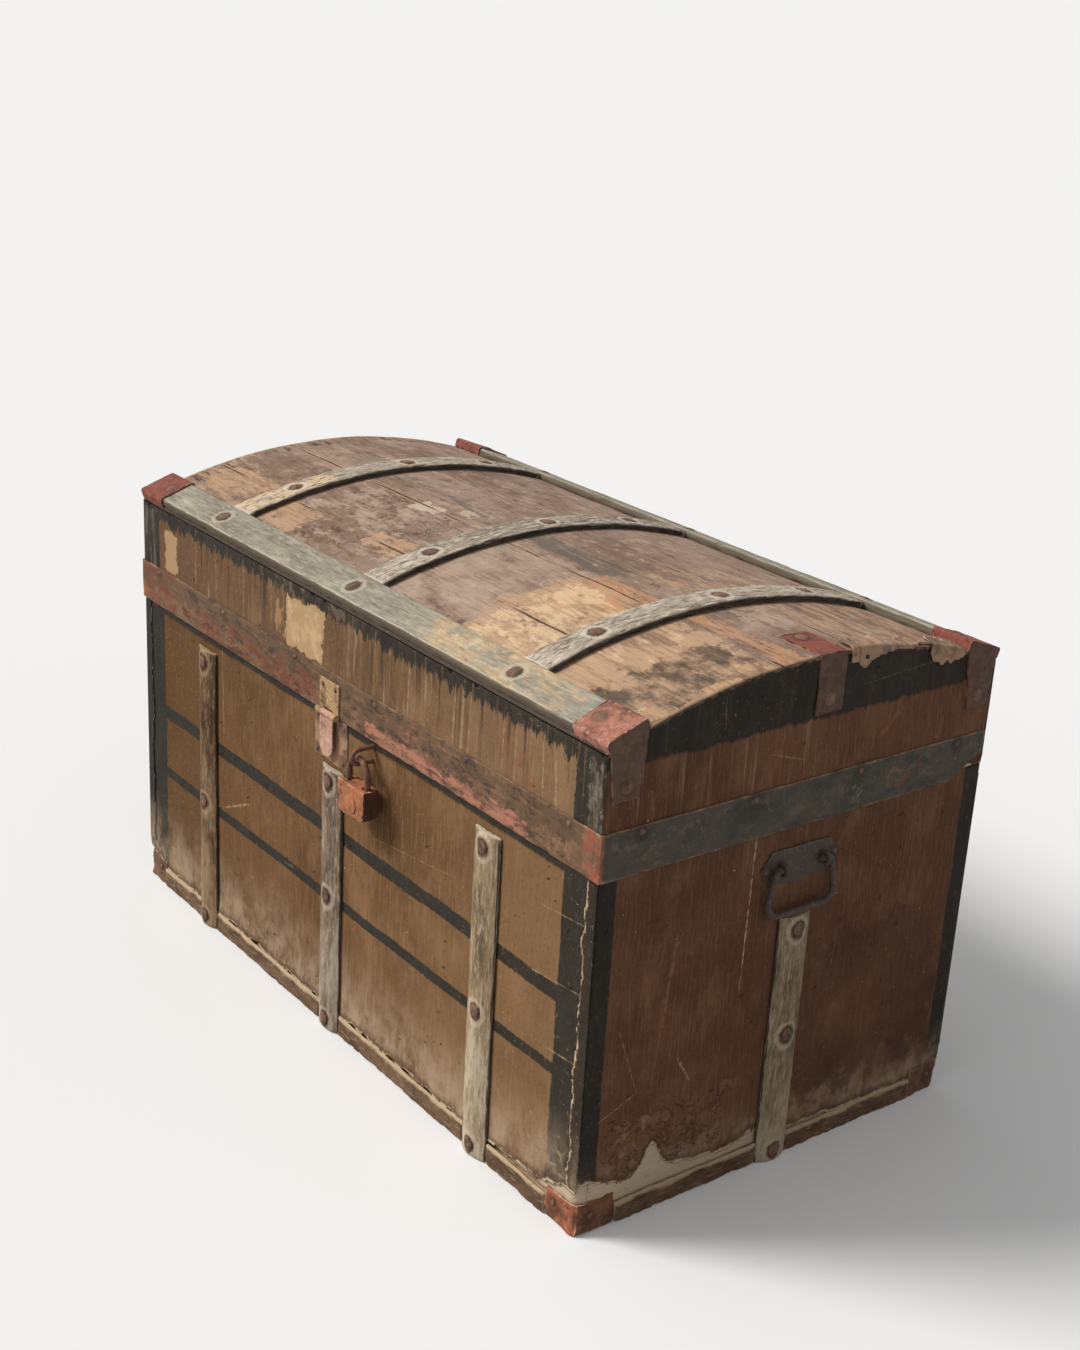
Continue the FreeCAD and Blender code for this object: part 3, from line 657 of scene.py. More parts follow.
@dataclass(frozen=True)
class DomeFinish:
    """Worn, stained and flaking covering of the dome.

    Args:
        name: name of the material.
        seams: where the joints of the boards show through, from front to rear.
    """

    name: str
    seams: tuple[float, ...]

    MAUVE = paint(158, 134, 118)
    BROWN = paint(132, 108, 92)
    PALE = paint(186, 162, 142)
    DARK = paint(90, 72, 60)
    CREAM = paint(210, 192, 168)
    LINE = paint(64, 50, 42)
    SOOT = paint(52, 50, 46)

    TAN, ORANGE, FLAKE = paint(194, 158, 125), paint(200, 148, 108), paint(226, 196, 156)
    GREY, UMBER = paint(104, 95, 88), paint(108, 84, 70)
    LONG = (28, 130, 130)
    STAINS = (
        Stain(Patch(-0.43, -0.300, -0.195, -0.120), TAN, 0.62, 0.8, flakes=(20, 60, 60), soft=0.12),
        Stain(Patch(-0.43, -0.400, -0.240, 0.240), SOOT, 0.40, flakes=LONG),
        Stain(Patch(-0.265, -0.185, -0.190, -0.137), TAN, 0.75, 0.7, 0.010, (30, 40, 40), LINE,
              0.1),
        Stain(Patch(-0.178, -0.105, -0.185, -0.140), UMBER, 0.5, 0.35, 0.012, (30, 40, 40), LINE,
              0.1),
        Stain(Patch(-0.230, -0.050, -0.125, -0.045), UMBER, 0.5, 0.35, 0.016, (22, 34, 34), LINE,
              0.12),
        Stain(Patch(-0.235, -0.090, -0.130, -0.050), PALE, 0.62, 0.75, 0.016, (22, 34, 34),
              soft=0.12),
        Stain(Patch(-0.105, -0.030, -0.156, -0.116), TAN, 0.7, 0.7, 0.012, (30, 50, 50), LINE, 0.1),
        Stain(Patch(-0.147, -0.104, -0.062, -0.033), CREAM, 0.9, 0.75, 0.009, (40, 50, 50), LINE,
              0.08),
        Stain(Patch(-0.092, -0.064, -0.036, -0.018), CREAM, 0.75, 0.6, 0.006, (40, 50, 50), LINE,
              0.08),
        Stain(Patch(-0.250, -0.060, -0.024, -0.002), GREY, 0.5, 0.7, 0.008, LONG),
        Stain(Patch(-0.250, 0.235, 0.050, 0.066), GREY, 0.45, 0.6, 0.008, LONG),
        Stain(Patch(0.010, 0.165, -0.032, 0.004), GREY, 0.65, 0.8, 0.008, LONG),
        Stain(Patch(-0.010, 0.168, -0.195, -0.034), PALE, 0.6, 0.6, 0.02, (16, 24, 24), soft=0.14),
        Stain(Patch(0.135, 0.255, -0.200, -0.044), TAN, 0.8, 0.8, 0.018, (24, 36, 36), soft=0.12),
        Stain(Patch(0.155, 0.255, -0.110, -0.040), ORANGE, 0.65, 0.7, 0.014, (30, 60, 60),
              soft=0.12),
        Stain(Patch(0.150, 0.255, -0.200, -0.060), FLAKE, 0.55, 0.75, 0.016, (34, 60, 60),
              soft=0.1),
        Stain(Patch(0.170, 0.255, -0.200, -0.070), UMBER, 0.3, 0.6, 0.014, (60, 90, 90), soft=0.08),
        Stain(Patch(0.150, 0.240, -0.046, -0.027), ORANGE, 0.7, 0.6, 0.008, LONG, LINE, 0.1),
        Stain(Patch(0.165, 0.245, 0.000, 0.110), TAN, 0.5, 0.7, soft=0.1),
        Stain(Patch(0.285, 0.430, -0.205, -0.050), TAN, 0.85, 0.85, 0.014, (20, 40, 40), soft=0.12),
        Stain(Patch(0.285, 0.430, -0.205, -0.050), UMBER, 0.38, 0.6, flakes=(20, 90, 90), soft=0.1),
        Stain(Patch(0.285, 0.415, -0.195, -0.055), FLAKE, 0.35, 0.6, 0.014, (30, 60, 60), soft=0.1),
        Stain(Patch(0.340, 0.430, -0.215, -0.060), SOOT, 0.62, 0.8, 0.022, (22, 30, 30), soft=0.16),
        Stain(Patch(0.285, 0.430, -0.045, -0.018), ORANGE, 0.7, 0.6, 0.007, LONG, LINE, 0.1),
        Stain(Patch(0.285, 0.355, 0.000, 0.050), PALE, 0.6, 0.7, soft=0.1),
        Stain(Patch(0.285, 0.430, 0.045, 0.200), TAN, 0.5, 0.6, 0.016, LONG),
        Stain(Patch(0.300, 0.430, 0.055, 0.130), ORANGE, 0.3, 0.6, 0.010, LONG),
    )

    def material(self) -> Material:
        """Make the material.

        Returns:
            The material.
        """
        r = Recipe(self.name)
        r.height = r.y
        clouds = r.noise((6, 9, 9), 6, 0.62)
        mottle = r.noise((42, 58, 58), 7, 0.74, shift=2.0)
        grain = r.noise((20, 230, 230), 5, 0.7, shift=4.0)
        r.tone = r.blend(clouds.above(0.38, 0.6), self.BROWN, self.MAUVE)
        r.coat(mottle.above(0.5, 0.66) * 0.8, self.PALE)
        r.coat(mottle.below(0.34, 0.46) * 0.7, self.DARK)
        for stain in self.STAINS:
            stain.lay(r)
        r.coat(grain.above(0.52, 0.66) * 0.45, self.DARK)
        r.coat(grain.below(0.34, 0.45) * 0.35, self.PALE)
        sway = (r.noise((14, 40, 40), 5, 0.65, shift=8.0) - 0.5) * 0.008
        joint = abs(r.y + sway - self.seams[0])
        for seam in self.seams[1:]:
            joint = joint.math("MINIMUM", joint, abs(r.y + sway - seam))
        shown = r.noise((11, 30, 30), 4, 0.6, shift=6.0).above(0.42, 0.56)
        lip = joint.below(0.0022, 0.0045) * shown
        r.coat(lip * 0.5, self.TAN)
        split = joint.below(0.0007, 0.0017) * shown
        r.coat(split * 0.85, self.LINE)
        r.coat(abs(r.y).above(0.2300, 0.2325) * 0.85, self.SOOT)
        rubbed = (abs(r.x) + (mottle - 0.5) * 0.012).above(0.4225, 0.4250)
        rubbed = rubbed * r.noise(60, 5, 0.7, shift=3.0).above(0.4, 0.52)
        r.coat(rubbed * 0.6, self.TAN)
        r.coat(r.attribute("depth").above(-0.004, -0.001) * 0.7, self.TAN)
        specks = r.noise(330, 3, 0.6).above(0.64, 0.72)
        r.coat(specks * 0.5, self.LINE)
        relief = mottle * 0.6 + grain * 0.35 - split * 0.8
        return r.finish(0.92 - clouds * 0.15, relief, 0.0016)


@dataclass(frozen=True)
class PlankFinish:
    """Old softwood boards.

    Args:
        name: name of the material.
        grain: the way that the grain runs.
        mid: main colour.
        pale: early wood.
        dark: late wood and dirt.
        dust: pale dust low down, if any.
    """

    name: str
    grain: Axis
    mid: Colour
    pale: Colour
    dark: Colour
    dust: Optional[Colour] = None

    def material(self) -> Material:
        """Make the material.

        Returns:
            The material.
        """
        r = Recipe(self.name)
        rings = r.noise(self.grain.stretch(2.2, 46), 5, 0.55)
        bands = (rings * 26).math("PINGPONG", rings * 26, 1.0)
        fibre = r.noise(self.grain.stretch(14, 620), 4, 0.6)
        r.tone = r.blend(bands.above(0.15, 0.9), self.mid, self.pale)
        r.coat(bands.above(0.86, 1.0) * 0.35, self.dark)
        r.coat(fibre.above(0.5, 0.72) * 0.35, self.dark)
        grime = r.noise((7, 7, 7), 6, 0.65, shift=3.0).above(0.5, 0.72)
        r.coat(grime * 0.45, self.dark)
        if self.dust:
            cling = r.z.below(0.06, 0.10) * r.noise(60, 6, 0.7, shift=5.0).above(0.2, 0.5)
            r.coat(cling * 0.75, self.dust)
        relief = fibre * 0.6 + bands * 0.4
        return r.finish(0.84 - fibre * 0.1, relief, 0.0006)


@dataclass(frozen=True)
class WoodFinish:
    """Grey weathered slats, hoops and battens, with marks round their nails.

    Args:
        name: name of the material.
        grain: the way that the grain runs.
        mid: main grey.
        pale: bleached flecks.
        dark: wet or dirty flecks.
        flecks: strength of the flecks.
        bleach: height below which the wood is paler.
        sides: the axis that the faces with painted shade look along, if any.
        rims: strength of the pale lines along its edges.
        stains: single stains, placed from above.
        side: colour of the painted shade on those faces.
    """

    name: str
    grain: Axis
    mid: Colour
    pale: Colour
    dark: Colour
    flecks: float
    bleach: float = 0.0
    sides: Optional[Axis] = None
    rims: float = 0.0
    stains: tuple[Stain, ...] = ()
    # Near-black painted shade for the sides unless told otherwise.
    side: Colour = paint(38, 34, 30)

    NAIL_RUST_AND_GAP_SHADE = paint(78, 58, 48)

    def material(self) -> Material:
        """Make the material.

        Returns:
            The material.
        """
        r = Recipe(self.name)
        r.height = r.y
        fibre = r.noise(self.grain.stretch(26, 470), 4, 0.7)
        fleck = r.noise(self.grain.stretch(60, 330), 6, 0.74, shift=2.0)
        cloud = r.noise(self.grain.stretch(14, 30), 6, 0.66, shift=5.0)
        if self.bleach:
            cloud = cloud + r.z.below(0.04, self.bleach) * 0.26 - 0.08
        r.tone = r.blend(cloud.above(0.5, 0.7) * 0.65, self.mid, self.pale)
        r.coat(cloud.below(0.32, 0.46) * 0.65, self.dark)
        for stain in self.stains:
            stain.lay(r)
        r.coat(fleck.above(0.52, 0.6) * self.flecks, self.pale)
        r.coat(fleck.below(0.38, 0.47) * self.flecks, self.dark)
        r.coat(fibre.above(0.54, 0.68) * 0.4, self.dark)
        if self.rims:
            flank = r.attribute("flank") + (r.noise(60, 4, 0.6, shift=3.5) - 0.5) * 0.06
            shown = r.noise(self.grain.stretch(30, 90), 4, 0.6).above(0.34, 0.46)
            line = flank.between(0.87, 0.94, 0.02) * shown
            r.coat(line * self.rims, self.pale)
        # Painted shade: faces that look either way along the sides axis are darkened towards the
        # side colour.
        if self.sides:
            turned = abs(r.facing[self.sides.value]) + (fleck - 0.5) * 0.35
            r.coat(turned.above(0.5, 0.85) * (1.12 - fibre * 0.5), self.side)
        cut = abs(r.facing[self.grain.value]) + (fibre - 0.5) * 0.4
        r.coat(cut.above(0.55, 0.8) * 0.8, self.pale)
        wear = (r.attribute("wear") * 1.4 * r.noise(60, 5, 0.7, shift=9.0)).above(0.3, 0.75)
        r.coat(wear * 0.3, self.pale)
        # Round each nail a pale ring, and nearer the head a dark ring that is partly rust stain and
        # partly painted shade of the gap round the head.
        near = r.attribute("rust") + (r.noise(140, 5, 0.7) - 0.5) * 0.35
        r.coat(near.between(0.30, 0.52, 0.06) * 0.55, self.pale)
        r.coat(near.above(0.56, 0.68) * 0.85, self.NAIL_RUST_AND_GAP_SHADE)
        relief = fibre * 0.5 + fleck * 0.5
        return r.finish(0.9 - fleck * 0.08, relief, 0.0012)


@dataclass(frozen=True)
class IronFinish:
    """Rusted sheet or wrought iron.

    Args:
        name: name of the material.
        iron: dark skin.
        rust: main rust colour.
        bloom: bright powdery rust.
        worn: rubbed edges.
        spread: share of the skin that has rusted.
    """

    name: str
    iron: Colour
    rust: Colour
    bloom: Colour
    worn: Colour
    spread: float = 0.5

    PIT = paint(40, 31, 27)

    def material(self) -> Material:
        """Make the material.

        Returns:
            The material.
        """
        r = Recipe(self.name)
        relief, rough = self.skin(r, self.iron, self.rust, self.bloom)
        return r.finish(rough, relief, 0.0009, gloss=0.28)

    def skin(self, r: Recipe, iron: object, rust: object, bloom: object) -> tuple[Signal, Signal]:
        """Lay the colours of rust.

        Args:
            r: the material.
            iron: colour of the skin.
            rust: colour of the rust.
            bloom: colour of its powdery spots.

        Returns:
            The relief and the roughness of the rust.
        """
        coarse = r.noise(42, 6, 0.66)
        fine = r.noise(210, 5, 0.66, shift=3.0)
        speck = r.noise(700, 3, 0.6, shift=6.0)
        level = 1.0 - self.spread
        r.tone = r.blend(coarse.above(level - 0.14, level + 0.1), iron, rust)
        r.coat(fine.above(0.5, 0.68) * 0.65, bloom)
        r.coat(fine.below(0.34, 0.42) * 0.6, iron)
        r.coat(speck.above(0.62, 0.7) * 0.6, self.PIT)
        wear = (r.attribute("wear") * 1.3 * r.noise(90, 5, 0.7, shift=9.0)).above(0.28, 0.7)
        r.coat(wear * 0.75, self.worn)
        halo = (r.attribute("rust") + (fine - 0.5) * 0.8).above(0.35, 0.85)
        r.coat(halo * 0.6, self.PIT)
        return fine * 0.6 + speck * 0.25 + coarse * 0.3, 0.86 - fine * 0.22


@dataclass(frozen=True)
class BandFinish(IronFinish):
    """Iron band of the lid: brown and red on the front and grey on the ends.

    Args:
        end_iron: skin on the ends.
        end_rust: rust on the ends.
        end_bloom: powdery spots on the ends.
    """

    end_iron: Colour = paint(76, 73, 65)
    end_rust: Colour = paint(88, 79, 68)
    end_bloom: Colour = paint(100, 90, 78)

    FLAME, RED, PINK = paint(188, 100, 74), paint(118, 64, 46), paint(188, 126, 102)
    OLIVE, SOOT = paint(92, 73, 54), paint(58, 47, 39)
    STAINS = (
        Stain(Patch(-0.436, 0.408, 0.376, 0.412), OLIVE, 0.8, 0.7, 0.010, (26, 26, 120), soft=0.12),
        Stain(Patch(-0.440, -0.330, 0.350, 0.410), RED, 0.55, 0.75, 0.014, (30, 30, 70), soft=0.1),
        Stain(Patch(-0.440, -0.410, 0.350, 0.372), FLAME, 0.5, 0.7, 0.008, soft=0.1),
        Stain(Patch(-0.330, -0.030, 0.350, 0.386), RED, 0.6, 0.75, 0.012, (24, 24, 80), soft=0.1),
        Stain(Patch(0.060, 0.330, 0.350, 0.374), PINK, 0.66, 0.8, 0.006, (24, 24, 140), soft=0.1),
        Stain(Patch(0.060, 0.300, 0.374, 0.402), PINK, 0.3, 0.45, 0.010, (30, 30, 80), soft=0.1),
        Stain(Patch(-0.330, 0.380, 0.352, 0.406), SOOT, 0.42, 0.7, 0.010, (60, 60, 150), soft=0.08),
        Stain(Patch(0.408, 0.445, 0.350, 0.410), paint(160, 84, 62), 0.62, 0.8, 0.012,
              (70, 70, 70), soft=0.14),
        Stain(Patch(0.418, 0.445, 0.352, 0.398), paint(198, 122, 96), 0.4, 0.7, 0.006,
              (130, 130, 130), soft=0.1),
    )
    END_STAINS = (
        Stain(Patch(0.104, 0.150, 0.366, 0.392), paint(150, 84, 66), 0.5, 0.7, 0.008, soft=0.1),
        Stain(Patch(0.056, 0.070, 0.360, 0.388), paint(190, 176, 156), 0.4, 0.6, 0.004,
              (150, 150, 150)),
        Stain(Patch(-0.240, 0.240, 0.352, 0.404), paint(60, 58, 52), 0.45, 0.7, 0.012,
              (20, 20, 50), soft=0.12),
        Stain(Patch(-0.240, 0.240, 0.352, 0.404), paint(122, 112, 98), 0.32, 0.6, 0.012,
              (60, 60, 90), soft=0.1),
    )

    def material(self) -> Material:
        """Make the material.

        Returns:
            The material.
        """
        r = Recipe(self.name)
        front = (r.y * -1.0).above(0.2345, 0.237)
        iron = r.blend(front, self.end_iron, self.iron)
        rust = r.blend(front, self.end_rust, self.rust)
        bloom = r.blend(front, self.end_bloom, self.bloom)
        relief, rough = self.skin(r, iron, rust, bloom)
        bare = r.tone
        for stain in self.STAINS:
            stain.lay(r)
        long, r.tone, r.along = r.tone, bare, r.y
        for stain in self.END_STAINS:
            stain.lay(r)
        r.coat(front, long)
        return r.finish(rough, relief, 0.0007, gloss=0.2)


@dataclass(frozen=True)
class ClampFinish(IronFinish):
    """Rusted iron with painted shade, duller and darker where it faces an end of the trunk.

    Args:
        end_shade: colour of the painted shade there.
        end_shade_dark: darker patches of the painted shade there.
    """

    end_shade: Colour = paint(97, 83, 69)
    end_shade_dark: Colour = paint(76, 63, 52)

    def material(self) -> Material:
        """Make the material.

        Returns:
            The material.
        """
        r = Recipe(self.name)
        relief, rough = self.skin(r, self.iron, self.rust, self.bloom)
        end_shade = r.blend(r.noise(70, 6, 0.7, shift=2.0).above(0.4, 0.62), self.end_shade_dark, self.end_shade)
        # Painted shade on the faces that look towards either end.
        side = abs(r.facing[Axis.X.value]) + (r.noise(60, 5, 0.65) - 0.5) * 0.5
        r.coat(side.above(0.5, 0.75) * 0.85, end_shade)
        return r.finish(rough, relief, 0.0009, gloss=0.25)


@dataclass(frozen=True)
class FibreFinish:
    """Crushed and frayed edge binding.

    Args:
        name: name of the material.
    """

    name: str

    DARK = paint(90, 69, 54)
    MID = paint(122, 96, 75)
    CREAM = paint(194, 170, 138)

    def material(self) -> Material:
        """Make the material.

        Returns:
            The material.
        """
        r = Recipe(self.name)
        lump = r.noise((26, 26, 60), 6, 0.7)
        hair = r.noise((70, 70, 420), 5, 0.65, shift=3.0)
        r.tone = r.blend(lump.above(0.36, 0.62), self.DARK, self.MID)
        r.coat(hair.above(0.54, 0.68) * 0.5, self.CREAM)
        top = (r.z + (lump - 0.5) * 0.014).above(0.0165, 0.0205)
        r.coat(top * 0.85, self.CREAM)
        wear = (r.attribute("wear") * 1.4 * r.noise(90, 5, 0.7, shift=9.0)).above(0.3, 0.7)
        r.coat(wear * 0.7, self.CREAM)
        return r.finish(0.93 - lump * 0.1, lump * 0.5 + hair * 0.5, 0.0016)


@dataclass(frozen=True)
class Ageing:
    """How the years have shaped a piece.

    Args:
        cell: distance between cuts of the mesh.
        rounding: radius of worn edges.
        bend: slow waves and dents.
        pits: fine unevenness.
        chips: loss along the edges.
        checks: depth of drying cracks.
        grain: the way that drying cracks run.
        crumple: small knocks and folds.
        crown: how far its long edges fall away from its middle.
        corner: radius of its upright corner.
    """

    cell: float
    rounding: float
    bend: float = 0.0
    pits: float = 0.0
    chips: float = 0.0
    checks: float = 0.0
    grain: Optional[Axis] = None
    crumple: float = 0.0
    crown: float = 0.0
    corner: float = 0.0


class Stock(Enum):
    """What a piece is made from, as how it ages."""

    PLATE = Ageing(cell=0.0026, rounding=0.0005, bend=0.0007, pits=0.0003, chips=0.0008)
    CLAMP = Ageing(cell=0.0026, rounding=0.0006, bend=0.0008, pits=0.0003, chips=0.0012)
    CAP = Ageing(cell=0.0022, rounding=0.0010, bend=0.0022, pits=0.0009, chips=0.0012,
                 crumple=0.0017, corner=0.013)
    BAND = Ageing(cell=0.0060, rounding=0.0006, bend=0.0003, pits=0.0002, chips=0.0007)
    CASE = Ageing(cell=0.0018, rounding=0.0014, bend=0.0004, pits=0.0004, chips=0.0008)
    SLAT = Ageing(cell=0.0019, rounding=0.0012, bend=0.0005, pits=0.0003, chips=0.0016,
                  checks=0.0009, grain=Axis.Z, crown=0.0045)
    HOOP = Ageing(cell=0.0019, rounding=0.0012, bend=0.0005, pits=0.0003, chips=0.0020,
                  checks=0.0010, grain=Axis.Y)
    BATTEN = Ageing(cell=0.0042, rounding=0.0010, bend=0.0005, pits=0.0002, chips=0.0016,
                    checks=0.0005, grain=Axis.X)
    FIBRE = Ageing(cell=0.0035, rounding=0.0009, bend=0.0012, pits=0.0007, chips=0.0020)


class Smithy:
    """Mesh work that several pieces share."""

    NAIL_NODES = ("slat_nails", "chest_iron_nails", "lid_wood_nails", "lid_iron_nails")
    MERGE_GAP = 1e-6
    FLAT_ANGLE = math.radians(0.5)
    SHARP_ANGLE = 0.6
    LONG_CELL = 0.004
    NAIL_REACH = 0.03
    NAIL_HALO = 0.0125
    RUN_DOWN = 0.8
    BEND_WAVES, CRUMPLE_WAVES, PIT_WAVES, CHIP_WAVES = 24, 80, 170, 75
    CHECK_WAVES = (7, 300)

    def __init__(self, limits: tuple[Vector, Vector]) -> None:
        """Find the nails, and keep the two corners that no piece may pass."""
        self.limits = limits
        self.nails = [head for node in self.NAIL_NODES for head in self.heads(node)]

    def heads(self, node: str) -> list[Vector]:
        """Middle of each nail in a group.

        Args:
            node: the group.

        Returns:
            The middles.
        """
        bm = self.merged(node)
        left, found = set(bm.verts), []
        while left:
            island, front = [], [left.pop()]
            while front:
                vert = front.pop()
                island.append(vert.co.copy())
                near = [edge.other_vert(vert) for edge in vert.link_edges]
                fresh = [other for other in near if other in left]
                left.difference_update(fresh)
                front.extend(fresh)
            found.append(sum(island, Vector()) / len(island))
        bm.free()
        return found

    def merged(self, node: str) -> BMesh:
        """Copy of a node's mesh with its doubles merged.

        Args:
            node: the node.

        Returns:
            The copy.
        """
        bm = bmesh.new()
        bm.from_mesh(frame["nodes"][node].data)
        bmesh.ops.remove_doubles(bm, verts=bm.verts, dist=self.MERGE_GAP)
        return bm

    @staticmethod
    def corners(bm: BMesh) -> tuple[Vector, Vector]:
        """Lowest and highest corner of the box round a mesh."""
        places = [[vert.co[axis] for vert in bm.verts] for axis in range(3)]
        return Vector(map(min, places)), Vector(map(max, places))

    @staticmethod
    def bevel(bm: BMesh, geom: list, radius: float, segments: int, affect: str = "EDGES") -> None:
        """Round some edges, or the corners of a flat shape, to a radius."""
        bmesh.ops.bevel(bm, geom=geom, offset=radius, offset_type="OFFSET", affect=affect,
                        segments=segments, profile=0.5, material=-1, clamp_overlap=True)

    def soften(self, bm: BMesh, radius: float) -> None:
        """Round the sharp edges to a radius."""
        creases = [edge for edge in bm.edges if edge.is_manifold]
        self.bevel(bm, [e for e in creases if e.calc_face_angle() > self.SHARP_ANGLE], radius, 2)

    def cut(self, bm: BMesh, cell: float) -> None:
        """Cut a mesh into small faces by level planes on the three axes.

        Args:
            bm: the mesh.
            cell: distance between cuts, which is larger along the longest axis.
        """
        low, high = self.corners(bm)
        spans = high - low
        for axis in range(3):
            step = max(cell, self.LONG_CELL) if spans[axis] == max(spans) else cell
            normal = Vector((0, 0, 0))
            normal[axis] = 1
            count = int(spans[axis] / step)
            for index in range(1, count + 1):
                at = low + normal * spans[axis] * index / (count + 1)
                bmesh.ops.bisect_plane(bm, geom=bm.verts[:] + bm.edges[:] + bm.faces[:], dist=1e-7,
                                       plane_co=at, plane_no=normal)

    @staticmethod
    def mark_wear(bm: BMesh) -> Layer:
        """Write how far each point stands out, so that edges can be rubbed.

        Args:
            bm: the mesh.

        Returns:
            The layer with the numbers.
        """
        layer = bm.verts.layers.float.new("wear")
        bm.normal_update()
        for vert in bm.verts:
            turns = [(vert.normal - other.normal).dot((vert.co - other.co).normalized())
                     for other in (edge.other_vert(vert) for edge in vert.link_edges)]
            vert[layer] = ease(sum(turns) / max(1, len(turns)), 0.02, 0.3)
        return layer

    def mark_rust(self, bm: BMesh) -> None:
        """Write how near each point is to a nail, more below it.

        Args:
            bm: the mesh.
        """
        layer = bm.verts.layers.float.new("rust")
        reach = Vector((self.NAIL_REACH,) * 3)
        low, high = self.corners(bm)
        low, high = low - reach, high + reach
        near = [nail for nail in self.nails if all(low[i] < nail[i] < high[i] for i in range(3))]
        for vert in bm.verts:
            best = 0.0
            for nail in near:
                gap = vert.co - nail
                gap.z *= self.RUN_DOWN if gap.z < 0 else 1.0
                best = max(best, math.exp(-(gap.length / self.NAIL_HALO) ** 2))
            vert[layer] = best

    def age(self, bm: BMesh, how: Ageing) -> None:
        """Dent, pit, chip and crack a mesh.

        Args:
            bm: the mesh.
            how: how it has aged.
        """
        wear = self.mark_wear(bm)
        moves = []
        for vert in bm.verts:
            at = vert.co
            move = noise.noise_vector(at * self.BEND_WAVES) * how.bend
            move += noise.noise_vector(at * self.CRUMPLE_WAVES) * how.crumple
            inward = -how.pits * ripple(at, self.PIT_WAVES)
            if how.chips:
                inward += how.chips * vert[wear] * max(0.0, ripple(at, self.CHIP_WAVES) + 0.15)
            if how.checks:
                crack = ripple(at, how.grain.stretch(*self.CHECK_WAVES))
                inward += how.checks * max(0.0, crack - 0.1)
            moves.append(move - vert.normal * inward)
        for vert, move in zip(bm.verts, moves):
            vert.co += move
        self.mark_rust(bm)
        if how.grain:
            self.mark_flank(bm, how.grain)
        if how.corner:
            self.turn_in(bm, how.corner)
        if how.crown:
            self.raise_crown(bm, how.crown)

    @staticmethod
    def turn_in(bm: BMesh, radius: float) -> None:
        """Round the upright corner of a cap.

        Args:
            bm: the mesh.
            radius: radius of the corner.
        """
        start = [max(abs(vert.co[axis]) for vert in bm.verts) - radius for axis in range(2)]
        for vert in bm.verts:
            over = Vector((abs(vert.co.x) - start[0], abs(vert.co.y) - start[1]))
            if min(over) > 0:
                over *= max(over) / over.length
                vert.co.x = math.copysign(start[0] + over.x, vert.co.x)
                vert.co.y = math.copysign(start[1] + over.y, vert.co.y)

    def raise_crown(self, bm: BMesh, drop: float) -> None:
        """Let the long edges of a slat fall away, so that its face is rounded.

        Args:
            bm: the mesh, with its distances from the middle line.
            drop: how far the edges fall.
        """
        flank = bm.verts.layers.float["flank"]
        low, high = self.corners(bm)
        spans = high - low
        thick = 0 if spans.x < spans.y else 1
        inner = min(abs(vert.co[thick]) for vert in bm.verts)
        for vert in bm.verts:
            share = (abs(vert.co[thick]) - inner) / spans[thick]
            vert.co[thick] -= math.copysign(drop * share * vert[flank] ** 2, vert.co[thick])

    def mark_flank(self, bm: BMesh, grain: Axis) -> None:
        """Write how far each point of a bar is from its middle line.

        Args:
            bm: the mesh.
            grain: the way that the bar runs, which is Y for a bent one.
        """
        layer = bm.verts.layers.float.new("flank")
        low, high = self.corners(bm)
        others = [axis for axis in range(3) if axis != grain.value]
        cross = 0 if grain is Axis.Y else max(others, key=lambda axis: high[axis] - low[axis])
        middle, half = (low[cross] + high[cross]) / 2, (high[cross] - low[cross]) / 2
        for vert in bm.verts:
            vert[layer] = abs(vert.co[cross] - middle) / half

    def settle(self, bm: BMesh, name: str, material: Material, body: str, slot: Slot,
               nodes: Iterable[str]) -> None:
        """Turn a mesh into a piece of the trunk.

        Args:
            bm: the mesh, in place.
            name: name of the piece.
            material: its finish.
            body: the body that it rides on.
            slot: the record's finish; not used.
            nodes: the solids that it stands for.
        """
        for vert in bm.verts:
            vert.co = [min(max(at, low), high) for at, low, high in zip(vert.co, *self.limits)]
        mesh = bpy.data.meshes.new(name)
        bm.to_mesh(mesh)
        bm.free()
        mesh.polygons.foreach_set("use_smooth", [True] * len(mesh.polygons))
        mesh.materials.append(material)
        piece = bpy.data.objects.new(name, mesh)
        bpy.context.scene.collection.objects.link(piece)
        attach(piece, body)
        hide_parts(*nodes)
        LOG.info("%s: %d faces", name, len(mesh.polygons))

    def worn_copy(self, node: str, stock: Stock, material: Material, slot: Slot) -> None:
        """Make an aged piece in the place of one solid.

        Args:
            node: the solid.
            stock: what it is made from.
            material: its finish.
            slot: the record's finish.
        """
        how = stock.value
        bm = self.merged(node)
        bmesh.ops.dissolve_limit(bm, angle_limit=self.FLAT_ANGLE, verts=bm.verts, edges=bm.edges)
        self.soften(bm, how.rounding)
        self.cut(bm, how.cell)
        self.age(bm, how)
        body = frame["nodes"][node]["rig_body"]
        self.settle(bm, f"{node}_worn", material, body, slot, (node,))

    @staticmethod
    def dress(material: Material, *nodes: str) -> None:
        """Give solids that stay as they are a finish.

        Args:
            material: the finish.
            nodes: the solids.
        """
        for node in nodes:
            for slot in frame["nodes"][node].material_slots:
                slot.material = material
            LOG.info("%s: dressed", node)


